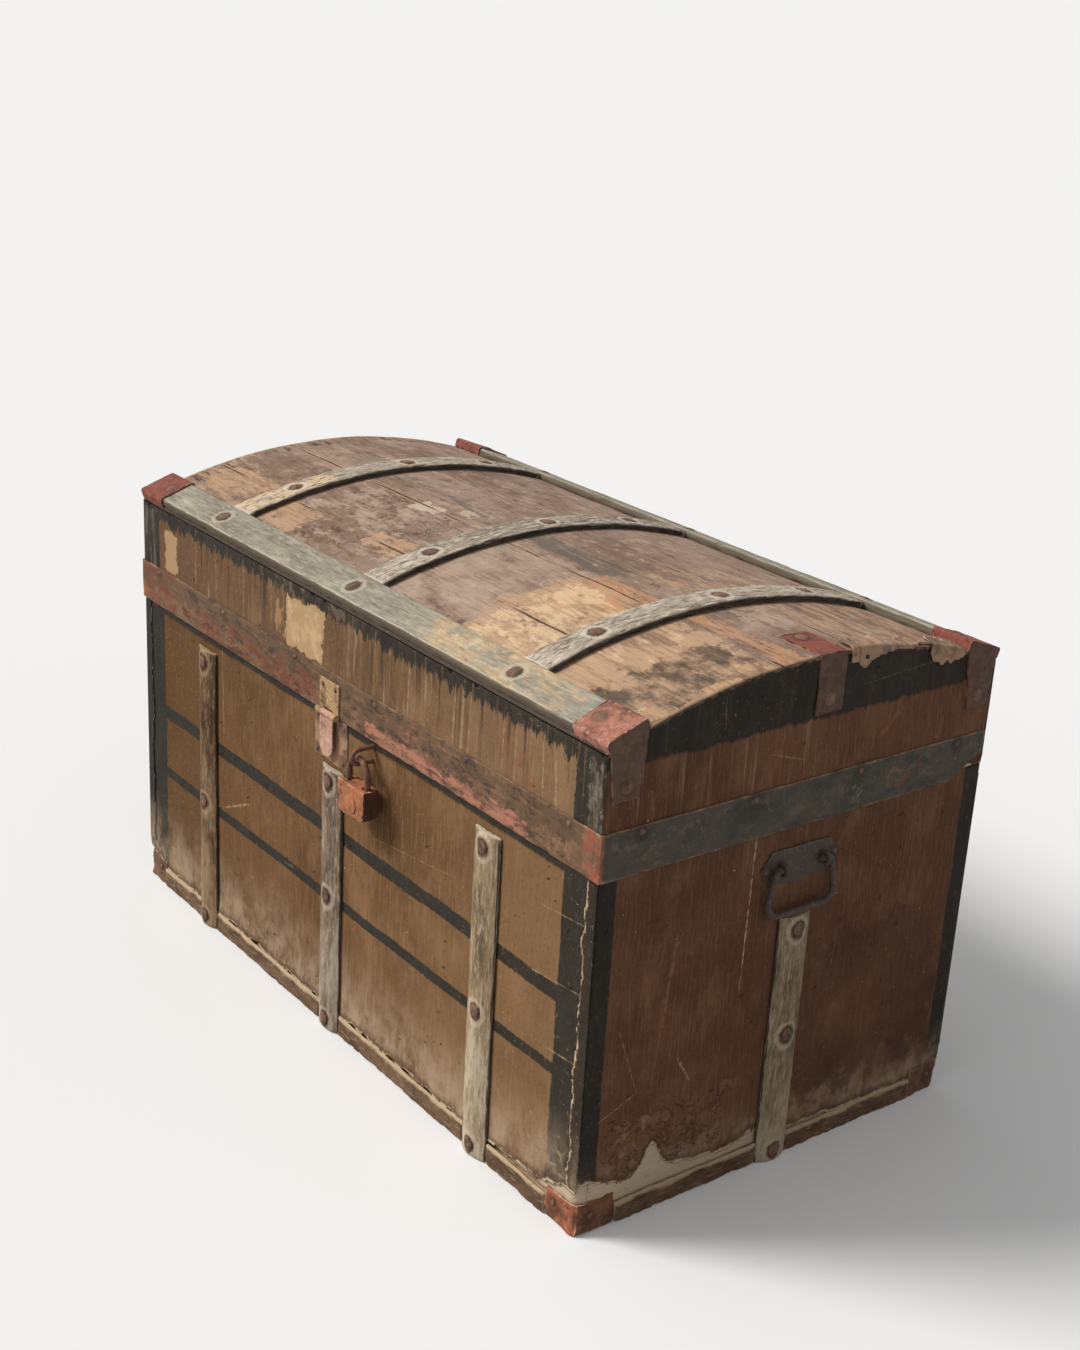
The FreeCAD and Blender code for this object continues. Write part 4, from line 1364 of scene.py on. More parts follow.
@dataclass(frozen=True)
class Tear:
    """Where a sheet of covering is torn.

    Args:
        hem: along and height of points on its ragged lower edge.
        patches: places where it has come away.
        fray: unevenness of torn edges.
        rag: slow unevenness of the places that have come away.
    """

    hem: tuple[Point, ...] = ()
    patches: tuple[Patch, ...] = ()
    fray: float = 0.004
    rag: float = 0.006

    def hem_height(self, along: float) -> float:
        """Height of the lower edge.

        Args:
            along: place along the side.

        Returns:
            The height there.
        """
        for (a, low), (b, high) in zip(self.hem, self.hem[1:]):
            if a <= along <= b:
                return low + (high - low) * (along - a) / (b - a)
        return self.hem[0][1] if along < self.hem[0][0] else self.hem[-1][1]

    def depth(self, along: float, height: float) -> float:
        """How far a point is inside what is torn away.

        Args:
            along: place along the side.
            height: height, or place across the dome.

        Returns:
            The distance in metres, below zero where the sheet is whole.
        """
        spot = Vector((along, height, 0.0))
        deepest = self.hem_height(along) - height if self.hem else -1.0
        loose = self.rag * ripple(spot, 26, 4)
        for patch in self.patches:
            deepest = max(deepest, patch.depth(along, height) + loose)
        return deepest + self.fray * ripple(spot, 55, 4)


@dataclass(frozen=True)
class FlatSide:
    """Flat ground of a sheet on one side of the trunk.

    Args:
        side: the side.
        out: distance of the sheet's face from the middle.
    """

    side: Side
    out: float

    def point(self, along: float, height: float, lift: float) -> Vector:
        """Point of the sheet, lifted outwards."""
        return self.side.place(along, self.out + lift, height)


@dataclass(frozen=True)
class DomeTop:
    """Curved ground of a sheet on the dome.

    Args:
        radius: radius of the sheet's face.
    """

    radius: float

    def point(self, along: float, across: float, lift: float) -> Vector:
        """Point of the sheet.

        Args:
            along: place along the dome.
            across: place across it.
            lift: how far the point is lifted outwards.

        Returns:
            The point.
        """
        angle = math.asin(across / self.radius)
        reach = self.radius + lift
        return Vector((along, reach * math.sin(angle), DOME_CENTRE + reach * math.cos(angle)))


@dataclass(frozen=True)
class EndFold:
    """Ground of a loose flap that comes off the dome and hangs over its right end.

    Args:
        dome: the dome, a little over its covering.
        edge: where the flap bends down.
        bend: radius of the bend.
    """

    dome: DomeTop
    edge: float
    bend: float

    def point(self, along: float, across: float, lift: float) -> Vector:
        """Point of the flap.

        Args:
            along: place across the dome.
            across: place across the flap, below zero on the dome and over the end beyond it.
            lift: how far the point is lifted outwards.

        Returns:
            The point.
        """
        turn = min(max(across / self.bend, 0.0), math.pi / 2)
        hang = max(0.0, across - self.bend * math.pi / 2)
        out = self.edge + min(across, 0.0) + (self.bend + lift) * math.sin(turn)
        drop = self.bend - (self.bend + lift) * math.cos(turn) + hang
        return self.dome.point(out, along, -drop)


@dataclass
class Covering:
    """One glued sheet of canvas with its tears.

    Args:
        name: name of the piece.
        body: the body that it rides on.
        node: the solid that it stands for.
        ground: what it is glued to.
        half: half its length.
        low: its lower or front edge.
        top: its upper or rear edge at a place along it.
        tear: where it is torn.
        flips: whether its faces have to be turned.
        middle: its middle along the side.
        cell: size of a mesh face.
        sheet: thickness.
        waves: height of its slow waves.
        curl: how far torn edges stand off.
        fringe: how much narrower than usual its bleached torn edge is.
    """

    name: str
    body: Body
    node: str
    ground: Union[FlatSide, DomeTop, EndFold]
    half: float
    low: float
    top: Callable[[float], float]
    tear: Tear
    flips: bool = False
    middle: float = 0.0
    cell: float = 0.004
    sheet: float = 0.0012
    waves: float = 0.0004
    curl: float = 0.0008
    fringe: float = 1.0

    def build(self, smithy: Smithy, material: Material) -> None:
        """Make the sheet.

        Args:
            smithy: the shared mesh work.
            material: its finish.
        """
        bm = bmesh.new()
        tallest = max(self.top(0.0), self.top(self.half))
        bmesh.ops.create_grid(bm, x_segments=int(2 * self.half / self.cell),
                              y_segments=int((tallest - self.low) / self.cell), size=0.5)
        depth = bm.verts.layers.float.new("depth")
        for vert in bm.verts:
            along = self.middle + 2 * self.half * vert.co.x
            height = self.low + (vert.co.y + 0.5) * (self.top(along) - self.low)
            vert.co = (along, height, 0.0)
            vert[depth] = self.tear.depth(along, height)
        lost = [face for face in bm.faces if sum(vert[depth] for vert in face.verts) > 0]
        bmesh.ops.delete(bm, geom=lost, context="FACES")
        ragged = [vert for vert in bm.verts if vert.is_boundary and vert[depth] > -2 * self.cell]
        for _ in range(2):
            bmesh.ops.smooth_vert(bm, verts=ragged, factor=0.5, use_axis_x=True, use_axis_y=True)
        self.mount(bm, depth)
        if self.flips:
            bmesh.ops.reverse_faces(bm, faces=bm.faces)
        bmesh.ops.solidify(bm, geom=bm.faces[:], thickness=self.sheet)
        smithy.mark_rust(bm)
        smithy.settle(bm, self.name, material, self.body.value, Slot.CANVAS, (self.node,))

    def mount(self, bm: BMesh, depth: Layer) -> None:
        """Lay the flat sheet on its ground, with its waves and lifted edges.

        Args:
            bm: the flat sheet.
            depth: the layer with the distance to the nearest tear.
        """
        for vert in bm.verts:
            spot = vert.co.copy()
            lift = self.waves * ripple(spot, 14, 3)
            lift += self.curl * ease(vert[depth], -0.014, 0.0) * (0.6 + ripple(spot, 24, 2))
            vert.co = self.ground.point(spot.x, spot.y, lift)
            vert[depth] *= self.fringe


@dataclass
class Coverings:
    """Painted canvas of the chest, the lid and the dome.

    Args:
        smithy: the shared mesh work.
        half_length: half the length over the chest canvas.
        half_depth: half the depth over the chest canvas.
        seam: top of the chest canvas.
        lid_gap: how much further out the lid canvas lies.
        lid_low: bottom of the lid canvas.
        lid_top: top of the lid canvas on the long sides.
        lid_sheet: thickness of the lid canvas.
        stave_sheet: thickness of the dome canvas.
        dome_half: half its length.
        dome_reach: half its depth.
        dome_seams: joints of the dome's boards, from front to rear.
        fold_edge: where the frayed edge of an end sheet lies on a long side.
        fold_half: half the width of what is folded round.
        fold_low: its lower edge.
        fold_top: its upper edge.
        fold_sheet: its thickness.
        flap_middle: middle of the loose flap, from front to rear.
        flap_half: half its length.
        flap_lift: how far it stands off the dome.
        flap_edge: where it bends down.
        flap_bend: radius of the bend.
    """

    smithy: Smithy
    half_length: float = 0.4262
    half_depth: float = 0.2362
    seam: float = 0.3655
    lid_gap: float = 0.0008
    lid_low: float = 0.3665
    lid_top: float = 0.4715
    lid_sheet: float = 0.0018
    stave_sheet: float = 0.0012
    dome_half: float = 0.427
    dome_reach: float = 0.2368
    dome_seams: tuple[float, ...] = (-0.1395, -0.047, 0.047, 0.1395)
    fold_edge: float = 0.411
    fold_half: float = 0.011
    fold_low: float = 0.048
    fold_top: float = 0.354
    fold_sheet: float = 0.0007
    flap_middle: float = 0.114
    flap_half: float = 0.078
    flap_lift: float = 0.0022
    flap_edge: float = 0.4235
    flap_bend: float = 0.004

    GOLD = (paint(122, 90, 59), paint(97, 69, 42), paint(152, 117, 84))
    RED = (paint(116, 81, 60), paint(98, 67, 50), paint(142, 106, 80))
    LID = (paint(130, 99, 71), paint(106, 80, 57), paint(158, 125, 93))

    BARE, GREY, SALMON = paint(198, 163, 122), paint(152, 142, 122), paint(206, 140, 112)
    WHITE, SORE, DUST = paint(226, 202, 168), paint(172, 120, 92), paint(168, 144, 116)
    FRONT_MARKS = (
        Scratch((-0.232, 0.163), (-0.178, 0.188), 0.0026),
        Scratch((0.350, 0.303), (0.412, 0.309), 0.0011),
        Scratch((0.338, 0.234), (0.412, 0.242), 0.0012),
        Scratch((0.366, 0.168), (0.412, 0.172), 0.0014),
        Scratch((0.075, 0.252), (0.225, 0.272), 0.0011, 0.45),
        Scratch((0.318, 0.040), (0.322, 0.130), 0.0010, 0.4),
        Scratch((-0.240, 0.350), (-0.236, 0.250), 0.0026, 0.3),
        Scratch((-0.300, 0.358), (-0.272, 0.357), 0.0036, 0.6, GREY),
        Scratch((-0.213, 0.358), (-0.196, 0.358), 0.0034, 0.7, WHITE),
        Scratch((-0.140, 0.357), (-0.130, 0.357), 0.0026, 0.7, WHITE),
        Scratch((-0.422, 0.357), (-0.390, 0.356), 0.0050, 0.8, SALMON),
        Scratch((0.126, 0.356), (0.136, 0.356), 0.0026, 0.7, WHITE),
        Scratch((-0.100, 0.151), (-0.082, 0.153), 0.0026, 0.6, GREY),
        Stain(Patch(0.340, 0.410, 0.040, 0.090), DUST, 0.45, 0.6),
        Stain(Patch(-0.380, -0.330, 0.030, 0.060), DUST, 0.55, 0.6),
    )
    END_MARKS = (
        Stain(Patch(-0.214, -0.060, 0.045, 0.108), paint(136, 106, 82), 0.42, 0.6, 0.014,
              (34, 34, 50), paint(70, 50, 40)),
        Stain(Patch(-0.205, -0.150, 0.060, 0.112), paint(162, 134, 106), 0.35, 0.6),
        Stain(Patch(0.010, 0.215, 0.050, 0.230), paint(80, 55, 46), 0.75, 0.85, 0.03, (9, 9, 9),
              soft=0.3),
        Scratch((-0.057, 0.354), (-0.060, 0.204), 0.0015, 0.75, WHITE),
        Scratch((-0.141, 0.284), (-0.152, 0.186), 0.0050, 0.55, SORE),
        Scratch((-0.152, 0.190), (-0.160, 0.120), 0.0020, 0.4, SORE),
        Scratch((-0.200, 0.200), (-0.175, 0.130), 0.0010, 0.5),
        Scratch((-0.175, 0.131), (-0.218, 0.114), 0.0016, 0.6),
        Scratch((-0.129, 0.152), (-0.113, 0.124), 0.0026, 0.7),
        Scratch((0.062, 0.236), (0.058, 0.190), 0.0012, 0.25),
    )
    LID_MARKS = (
        Stain(Patch(-0.374, -0.342, 0.404, 0.450), BARE, 0.8, 0.75, 0.006, (60, 60, 24), soft=0.12),
        Stain(Patch(-0.100, -0.023, 0.402, 0.456), BARE, 0.97, 0.85, 0.007, rim=paint(92, 70, 50),
              soft=0.05),
        Stain(Patch(-0.098, -0.025, 0.404, 0.454), paint(218, 188, 148), 0.5, 0.6, 0.008,
              (80, 80, 60), soft=0.1),
        Stain(Patch(-0.125, -0.096, 0.404, 0.460), paint(176, 142, 104), 0.5, 0.7, 0.008,
              (60, 60, 30)),
        Stain(Patch(0.280, 0.342, 0.402, 0.452), paint(142, 92, 68), 0.45, 0.6, 0.010),
        Stain(Patch(0.404, 0.430, 0.398, 0.466), paint(140, 130, 114), 0.55, 0.7, 0.008,
              (160, 160, 50), soft=0.14),
        Scratch((0.4245, 0.400), (0.4245, 0.470), 0.0022, 0.9, paint(36, 32, 28)),
        Stain(Patch(-0.430, -0.392, 0.398, 0.470), paint(110, 102, 88), 0.55, 0.7, 0.008,
              (120, 120, 20)),
        Stain(Patch(-0.130, 0.020, 0.457, 0.475), paint(124, 106, 88), 0.5, 0.6, 0.010,
              (60, 60, 30)),
    ) + tuple(
        Scratch((at, 0.402), (at + lean, 0.402 + length), width, strength)
        for at, lean, length, width, strength in (
            (-0.300, 0.002, 0.070, 0.0014, 0.6), (-0.251, 0.000, 0.060, 0.0018, 0.7),
            (-0.190, 0.000, 0.064, 0.0015, 0.6), (-0.131, 0.002, 0.058, 0.0012, 0.5),
            (0.070, 0.002, 0.066, 0.0012, 0.5), (0.130, 0.003, 0.054, 0.0018, 0.7),
            (0.206, 0.002, 0.058, 0.0020, 0.7), (0.219, 0.002, 0.056, 0.0036, 0.6),
            (0.230, 0.003, 0.058, 0.0012, 0.7), (0.283, 0.001, 0.044, 0.0014, 0.6),
            (0.344, -0.003, 0.052, 0.0022, 0.7), (0.363, -0.003, 0.040, 0.0034, 0.6),
        )
    )
    LID_END_MARKS = (
        Scratch((-0.050, 0.434), (-0.006, 0.420), 0.0014, 0.6),
        Scratch((-0.182, 0.404), (-0.186, 0.430), 0.0050, 0.4, SORE),
        Scratch((0.088, 0.424), (0.110, 0.444), 0.0050, 0.45, SORE),
        Scratch((-0.110, 0.500), (-0.108, 0.470), 0.0010, 0.4, GREY),
        Scratch((0.060, 0.480), (0.170, 0.488), 0.0010, 0.35, GREY),
    )

    LONG_HEM = ((-0.43, 0.040), (-0.38, 0.022), (-0.10, 0.021), (0.16, 0.023), (0.29, 0.022),
                (0.36, 0.030), (0.43, 0.048))
    END_HEM = ((-0.24, 0.056), (-0.215, 0.051), (-0.19, 0.041), (-0.168, 0.043), (-0.160, 0.056),
               (-0.154, 0.069), (-0.147, 0.068), (-0.140, 0.052), (-0.132, 0.040), (-0.10, 0.034),
               (-0.06, 0.029), (-0.025, 0.037), (0.03, 0.024), (0.19, 0.020), (0.24, 0.032))

    FINISHES = {
        "front": CanvasFinish("front", Side.FRONT, *GOLD, posts=0.379, crest=0.347, dust=0.125,
                              rails=((0.220, 0.236), (0.145, 0.157)), marks=FRONT_MARKS),
        "right": CanvasFinish("right", Side.RIGHT, *RED, posts=0.2165, crest=0.520, dust=0.085,
                              marks=END_MARKS),
        "lid_front": CanvasFinish("lid_front", Side.FRONT, *LID, posts=0.388, crest=0.457,
                                  drips=0.045, streaks=0.75, marks=LID_MARKS),
        "lid_right": CanvasFinish("lid_right", Side.RIGHT, *RED, posts=0.300, crest=0.457,
                                  drips=0.012, streaks=0.3, marks=LID_END_MARKS, arch=DOME_RADIUS),
    }

    def painted(self, side: Side, prefix: str = "") -> Material:
        """Finish of a sheet. A side that isn't shown is like the one that is, without its marks.

        Args:
            side: the side that the sheet covers.
            prefix: what the names of the lid's sheets begin with.

        Returns:
            The material.
        """
        like = self.FINISHES[prefix + ("right" if side.is_end else "front")]
        marks = () if side.flips else like.marks
        name = f"{prefix}{side.name.lower()}_canvas_paint"
        return replace(like, name=name, marks=marks).material()

    def arch(self, along: float) -> float:
        """Height of the dome's boards over an end of the lid."""
        across = min(abs(along), self.half_depth)
        return DOME_CENTRE + math.sqrt((DOME_RADIUS - self.stave_sheet) ** 2 - across ** 2)

    def build(self) -> None:
        """Make every sheet."""
        level = Tear(((-0.43, self.lid_low), (0.43, self.lid_low)), fray=0.003)
        for side in Side:
            half, out, hem = self.half_length, self.half_depth, self.LONG_HEM
            if side.is_end:
                half, out, hem = out, half, self.END_HEM
            if side.flips:
                hem = tuple((-along, height) for along, height in hem[::-1])
            name, material = f"{side.name.lower()}_canvas", self.painted(side)
            chest = Covering(name, Body.CHEST, "chest_canvas", FlatSide(side, out), half, 0.0,
                             lambda along: self.seam, Tear(hem), side.flips)
            chest.build(self.smithy, material)
            if not side.is_end:
                self.folds(side, material)
            top = self.arch if side.is_end else (lambda along: self.lid_top)
            lid = Covering(f"lid_{name}", Body.LID, "lid_canvas",
                           FlatSide(side, out + self.lid_gap), half + self.lid_gap, self.lid_low,
                           top, level, side.flips, sheet=self.lid_sheet)
            lid.build(self.smithy, self.painted(side, "lid_"))
        self.dome()

    def folds(self, side: Side, material: Material) -> None:
        """Make the frayed edges of the end sheets, which are folded round the corners.

        Args:
            side: the long side that they lie on.
            material: its finish.
        """
        ground = FlatSide(side, self.half_depth + self.fold_sheet)
        places = {"left": (-1, Patch(-self.fold_edge, 1.0, -1.0, 1.0), 9.0),
                  "right": (1, Patch(-1.0, self.fold_edge, -1.0, 1.0), 1.0)}
        for hand, (sign, gone, fringe) in places.items():
            fold = Covering(f"{side.name.lower()}_{hand}_fold", Body.CHEST, "chest_canvas", ground,
                            self.fold_half, self.fold_low, lambda along: self.fold_top,
                            Tear((), (gone,), fray=0.0024, rag=0.003), side.flips,
                            sign * (self.half_length - self.fold_half), cell=0.0020,
                            sheet=self.fold_sheet, waves=0.0001, curl=0.0005, fringe=fringe)
            fold.build(self.smithy, material)

    def dome(self) -> None:
        """Make the covering of the dome, and the flap that has come off its right edge."""
        material = DomeFinish("dome_covering_paint", self.dome_seams).material()
        sheet = Covering("dome_covering", Body.LID, "dome_canvas", DomeTop(DOME_RADIUS),
                         self.dome_half, -self.dome_reach, lambda along: self.dome_reach, Tear(),
                         cell=0.0036, waves=0.0005)
        sheet.build(self.smithy, material)
        over = EndFold(DomeTop(DOME_RADIUS + self.flap_lift), self.flap_edge, self.flap_bend)
        gone = (Patch(-1.0, 1.0, 0.013, 1.0), Patch(-1.0, 1.0, -1.0, -0.016))
        flap = Covering("dome_edge_flap", Body.LID, "dome_canvas", over, self.flap_half, -0.022,
                        lambda along: 0.024, Tear((), gone, fray=0.003, rag=0.018), True,
                        self.flap_middle, cell=0.0022, sheet=0.0010, waves=0.0022, curl=0.0024,
                        fringe=9.0)
        flap.build(self.smithy, material)


@dataclass
class Woodwork:
    """Boards of the box, staves of the dome, and the slats, hoops and battens over them.

    Args:
        smithy: the shared mesh work.
        boards_in_wall: boards in a chest wall.
        boards_in_base: boards in the base.
        board_rounding: radius of their worn edges.
        stave_count: boards in the dome.
        stave_gap: open joint between them.
        stave_outer: radius over the staves.
        stave_inner: radius under the staves.
        stave_rounding: radius of their worn edges.
        half_length: half the length of the staves.
        half_depth: half the depth of the box.
        box_corner: radius of the upright corners of the box.
        hoop_depth: thickness of a hoop.
        hoop_width: width of a hoop.
        hoop_shoulder: rounding of its upper edges.
        hoop_reach: where a hoop ends, from the middle.
        hoop_places: middles of the hoops.
    """

    smithy: Smithy
    boards_in_wall: int = 3
    boards_in_base: int = 3
    board_rounding: float = 0.0010
    stave_count: int = 5
    stave_gap: float = 0.0016
    stave_outer: float = 0.64836
    stave_inner: float = 0.63936
    stave_rounding: float = 0.0007
    half_length: float = 0.425
    half_depth: float = 0.235
    box_corner: float = 0.010
    hoop_depth: float = 0.007
    hoop_width: float = 0.038
    hoop_shoulder: float = 0.003
    hoop_reach: float = 0.1965
    hoop_places: tuple[tuple[str, float], ...] = (
        ("hoop_left", -0.270), ("hoop_middle", 0.0), ("hoop_right", 0.270))

    PINE = (paint(170, 138, 102), paint(196, 166, 128), paint(104, 80, 58))
    BARE = (paint(170, 146, 118), paint(196, 174, 146), paint(108, 86, 66), paint(212, 190, 164))
    SLATS = {
        "left": (paint(100, 76, 55), paint(172, 144, 112), paint(56, 42, 33)),
        "middle": (paint(130, 111, 93), paint(196, 181, 160), paint(70, 58, 48)),
        "right": (paint(160, 137, 106), paint(206, 191, 168), paint(86, 70, 52)),
    }
    END_SLAT = (paint(150, 131, 106), paint(200, 182, 154), paint(84, 68, 54))
    HOOP = (paint(166, 152, 135), paint(216, 204, 186), paint(92, 81, 70))
    BATTEN = (paint(154, 147, 131), paint(196, 187, 168), paint(108, 100, 87))

    # Colour of the painted shade on the front and rear faces of the battens.
    EDGE = paint(88, 76, 61)
    HOOP_STAINS = (
        Stain(Patch(-0.292, -0.248, -0.200, -0.080), paint(218, 188, 154), 0.8, 0.8, 0.016,
              (60, 30, 30), soft=0.1),
        Stain(Patch(-0.030, 0.030, -0.120, 0.200), paint(124, 118, 108), 0.6, 0.6, 0.016,
              (40, 24, 24), soft=0.14),
    )
    BATTEN_STAINS = (
        Stain(Patch(0.130, 0.350, -0.260, -0.170), paint(198, 168, 128), 0.66, 0.75, 0.022,
              (26, 50, 50), soft=0.14),
        Stain(Patch(0.150, 0.340, -0.260, -0.170), paint(220, 198, 162), 0.38, 0.7, 0.016,
              (60, 90, 90), soft=0.1),
        Stain(Patch(-0.430, 0.120, -0.260, -0.170), paint(118, 108, 94), 0.45, 0.6, 0.012,
              (14, 60, 60), soft=0.14),
    )

    def build(self) -> None:
        """Make all the woodwork."""
        long_pine = PlankFinish("pine_lengthwise", Axis.X, *self.PINE).material()
        cross_pine = PlankFinish("pine_crosswise", Axis.Y, *self.PINE).material()
        bare = PlankFinish("bare_outer_boards", Axis.X, *self.BARE).material()
        bare_end = PlankFinish("bare_end_boards", Axis.Y, *self.BARE).material()
        self.boards("base_boards", self.boards_in_base, Axis.Y, long_pine)
        for side in Side:
            self.boards(f"{side.name.lower()}_wall_boards", self.boards_in_wall, Axis.Z,
                        bare_end if side.is_end else bare)
        self.smithy.dress(bare, "lid_front_board", "lid_rear_board")
        self.smithy.dress(cross_pine, "lid_left_end", "lid_right_end")
        self.staves(long_pine)
        self.slats()
        self.hoops()
        self.battens()

    def boards(self, node: str, count: int, axis: Axis, material: Material) -> None:
        """Make the boards of one wall or of the base, with worn joints.

        Args:
            node: the solids that they stand for.
            count: how many boards.
            axis: the axis along which they lie beside each other.
            material: their finish.
        """
        low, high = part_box(node)
        size = high - low
        size[axis.value] /= count
        bm = bmesh.new()
        for index in range(count):
            middle = low + size / 2
            middle[axis.value] += index * size[axis.value]
            place = Matrix.Translation(middle) @ Matrix.Diagonal((*size, 1.0))
            bmesh.ops.create_cube(bm, size=1.0, matrix=place)
        x, y = self.half_length - 1e-4, self.half_depth - 1e-4
        outer = {vert for vert in bm.verts if abs(vert.co.x) > x and abs(vert.co.y) > y}
        corners = [edge for edge in bm.edges if outer.issuperset(edge.verts)]
        self.smithy.bevel(bm, corners, self.box_corner, 6)
        self.smithy.soften(bm, self.board_rounding)
        self.smithy.settle(bm, f"{node}_worn", material, Body.CHEST.value, Slot.PINE, (node,))

    def staves(self, material: Material) -> None:
        """Make the curved boards of the dome.

        Args:
            material: their finish.
        """
        reach = math.asin(self.half_depth / self.stave_outer)
        step = 2 * reach / self.stave_count
        gap = self.stave_gap / self.stave_outer
        middle = (self.stave_outer + self.stave_inner) / 2
        size = (2 * self.half_length, self.stave_outer - self.stave_inner, 1.0, 1.0)
        stand = Matrix.Translation((0, 0, middle)) @ Matrix.Rotation(math.pi / 2, 4, "X")
        bm = bmesh.new()
        for index in range(self.stave_count):
            start = index * step - reach + gap / 2
            place = Matrix.Translation((0, 0, DOME_CENTRE)) @ Matrix.Rotation(-start, 4, "X")
            made = bmesh.ops.create_grid(bm, x_segments=1, y_segments=1, size=0.5,
                                         matrix=place @ stand @ Matrix.Diagonal(size))
            faces = {face for vert in made["verts"] for face in vert.link_faces}
            edges = {edge for face in faces for edge in face.edges}
            bmesh.ops.spin(bm, geom=[*made["verts"], *edges, *faces], cent=(0, 0, DOME_CENTRE),
                           axis=(1, 0, 0), angle=-(step - gap), steps=14, use_duplicate=False)
        bmesh.ops.recalc_face_normals(bm, faces=bm.faces)
        self.smithy.soften(bm, self.stave_rounding)
        self.smithy.settle(bm, "dome_staves_worn", material, Body.LID.value, Slot.PINE,
                           ("dome_staves",))

    def slats(self) -> None:
        """Make the upright slats."""
        for place, colours in self.SLATS.items():
            # Painted shade darkens the slats' sides that face along X.
            grey = WoodFinish(f"{place}_slat_wood", Axis.Z, *colours, flecks=0.5, bleach=0.26,
                              sides=Axis.X).material()
            for row in ("front", "rear"):
                self.smithy.worn_copy(f"{row}_slat_{place}", Stock.SLAT, grey, Slot.WOOD)
        # Painted shade darkens the end slats' sides that face along Y.
        grey = WoodFinish("end_slat_wood", Axis.Z, *self.END_SLAT, flecks=0.5, bleach=0.12,
                          sides=Axis.Y).material()
        for end in ("left", "right"):
            self.smithy.worn_copy(f"{end}_end_slat", Stock.SLAT, grey, Slot.WOOD)

    def hoops(self) -> None:
        """Make the bent hoops over the dome."""
        # Painted shade darkens the hoops' sides that face along X.
        grey = WoodFinish("hoop_wood", Axis.Y, *self.HOOP, flecks=0.85, sides=Axis.X,
                          stains=self.HOOP_STAINS).material()
        for node, place in self.hoop_places:
            bm = self.hoop(place)
            self.smithy.age(bm, Stock.HOOP.value)
            self.smithy.settle(bm, f"{node}_worn", grey, Body.LID.value, Slot.WOOD, (node,))

    def hoop(self, place: float) -> BMesh:
        """Bend one hoop.

        Args:
            place: its middle along the trunk.

        Returns:
            The mesh.
        """
        bm = bmesh.new()
        bmesh.ops.create_grid(bm, x_segments=1, y_segments=1, size=0.5,
                              matrix=Matrix.Diagonal((self.hoop_width, self.hoop_depth, 1.0, 1.0)))
        upper = [vert for vert in bm.verts if vert.co.y > 0]
        self.smithy.bevel(bm, upper, self.hoop_shoulder, 4, "VERTICES")
        bmesh.ops.delete(bm, geom=bm.faces[:], context="FACES_ONLY")
        for edge in bm.edges[:]:
            cuts = int(edge.calc_length() / Stock.HOOP.value.cell)
            if cuts:
                bmesh.ops.subdivide_edges(bm, edges=[edge], cuts=cuts)
        reach = math.asin(self.hoop_reach / (DOME_RADIUS + self.hoop_depth))
        stand = Matrix.Translation((place, 0, DOME_CENTRE)) @ Matrix.Rotation(reach, 4, "X")
        stand = stand @ Matrix.Translation((0, 0, DOME_RADIUS + self.hoop_depth / 2))
        bmesh.ops.transform(bm, matrix=stand @ Matrix.Rotation(math.pi / 2, 4, "X"), verts=bm.verts)
        bmesh.ops.spin(bm, geom=bm.verts[:] + bm.edges[:], cent=(0, 0, DOME_CENTRE), axis=(1, 0, 0),
                       angle=-2 * reach, steps=110, use_duplicate=False)
        bmesh.ops.holes_fill(bm, edges=[edge for edge in bm.edges if edge.is_boundary], sides=0)
        bmesh.ops.recalc_face_normals(bm, faces=bm.faces)
        return bm

    def battens(self) -> None:
        """Make the two long battens."""
        for place, stains in (("front", self.BATTEN_STAINS), ("rear", ())):
            # Painted shade darkens the battens' faces that look along Y.
            grey = WoodFinish(f"{place}_batten_wood", Axis.X, *self.BATTEN, flecks=0.42, rims=0.9,
                              sides=Axis.Y, stains=stains, side=self.EDGE).material()
            self.smithy.worn_copy(f"batten_{place}", Stock.BATTEN, grey, Slot.WOOD)


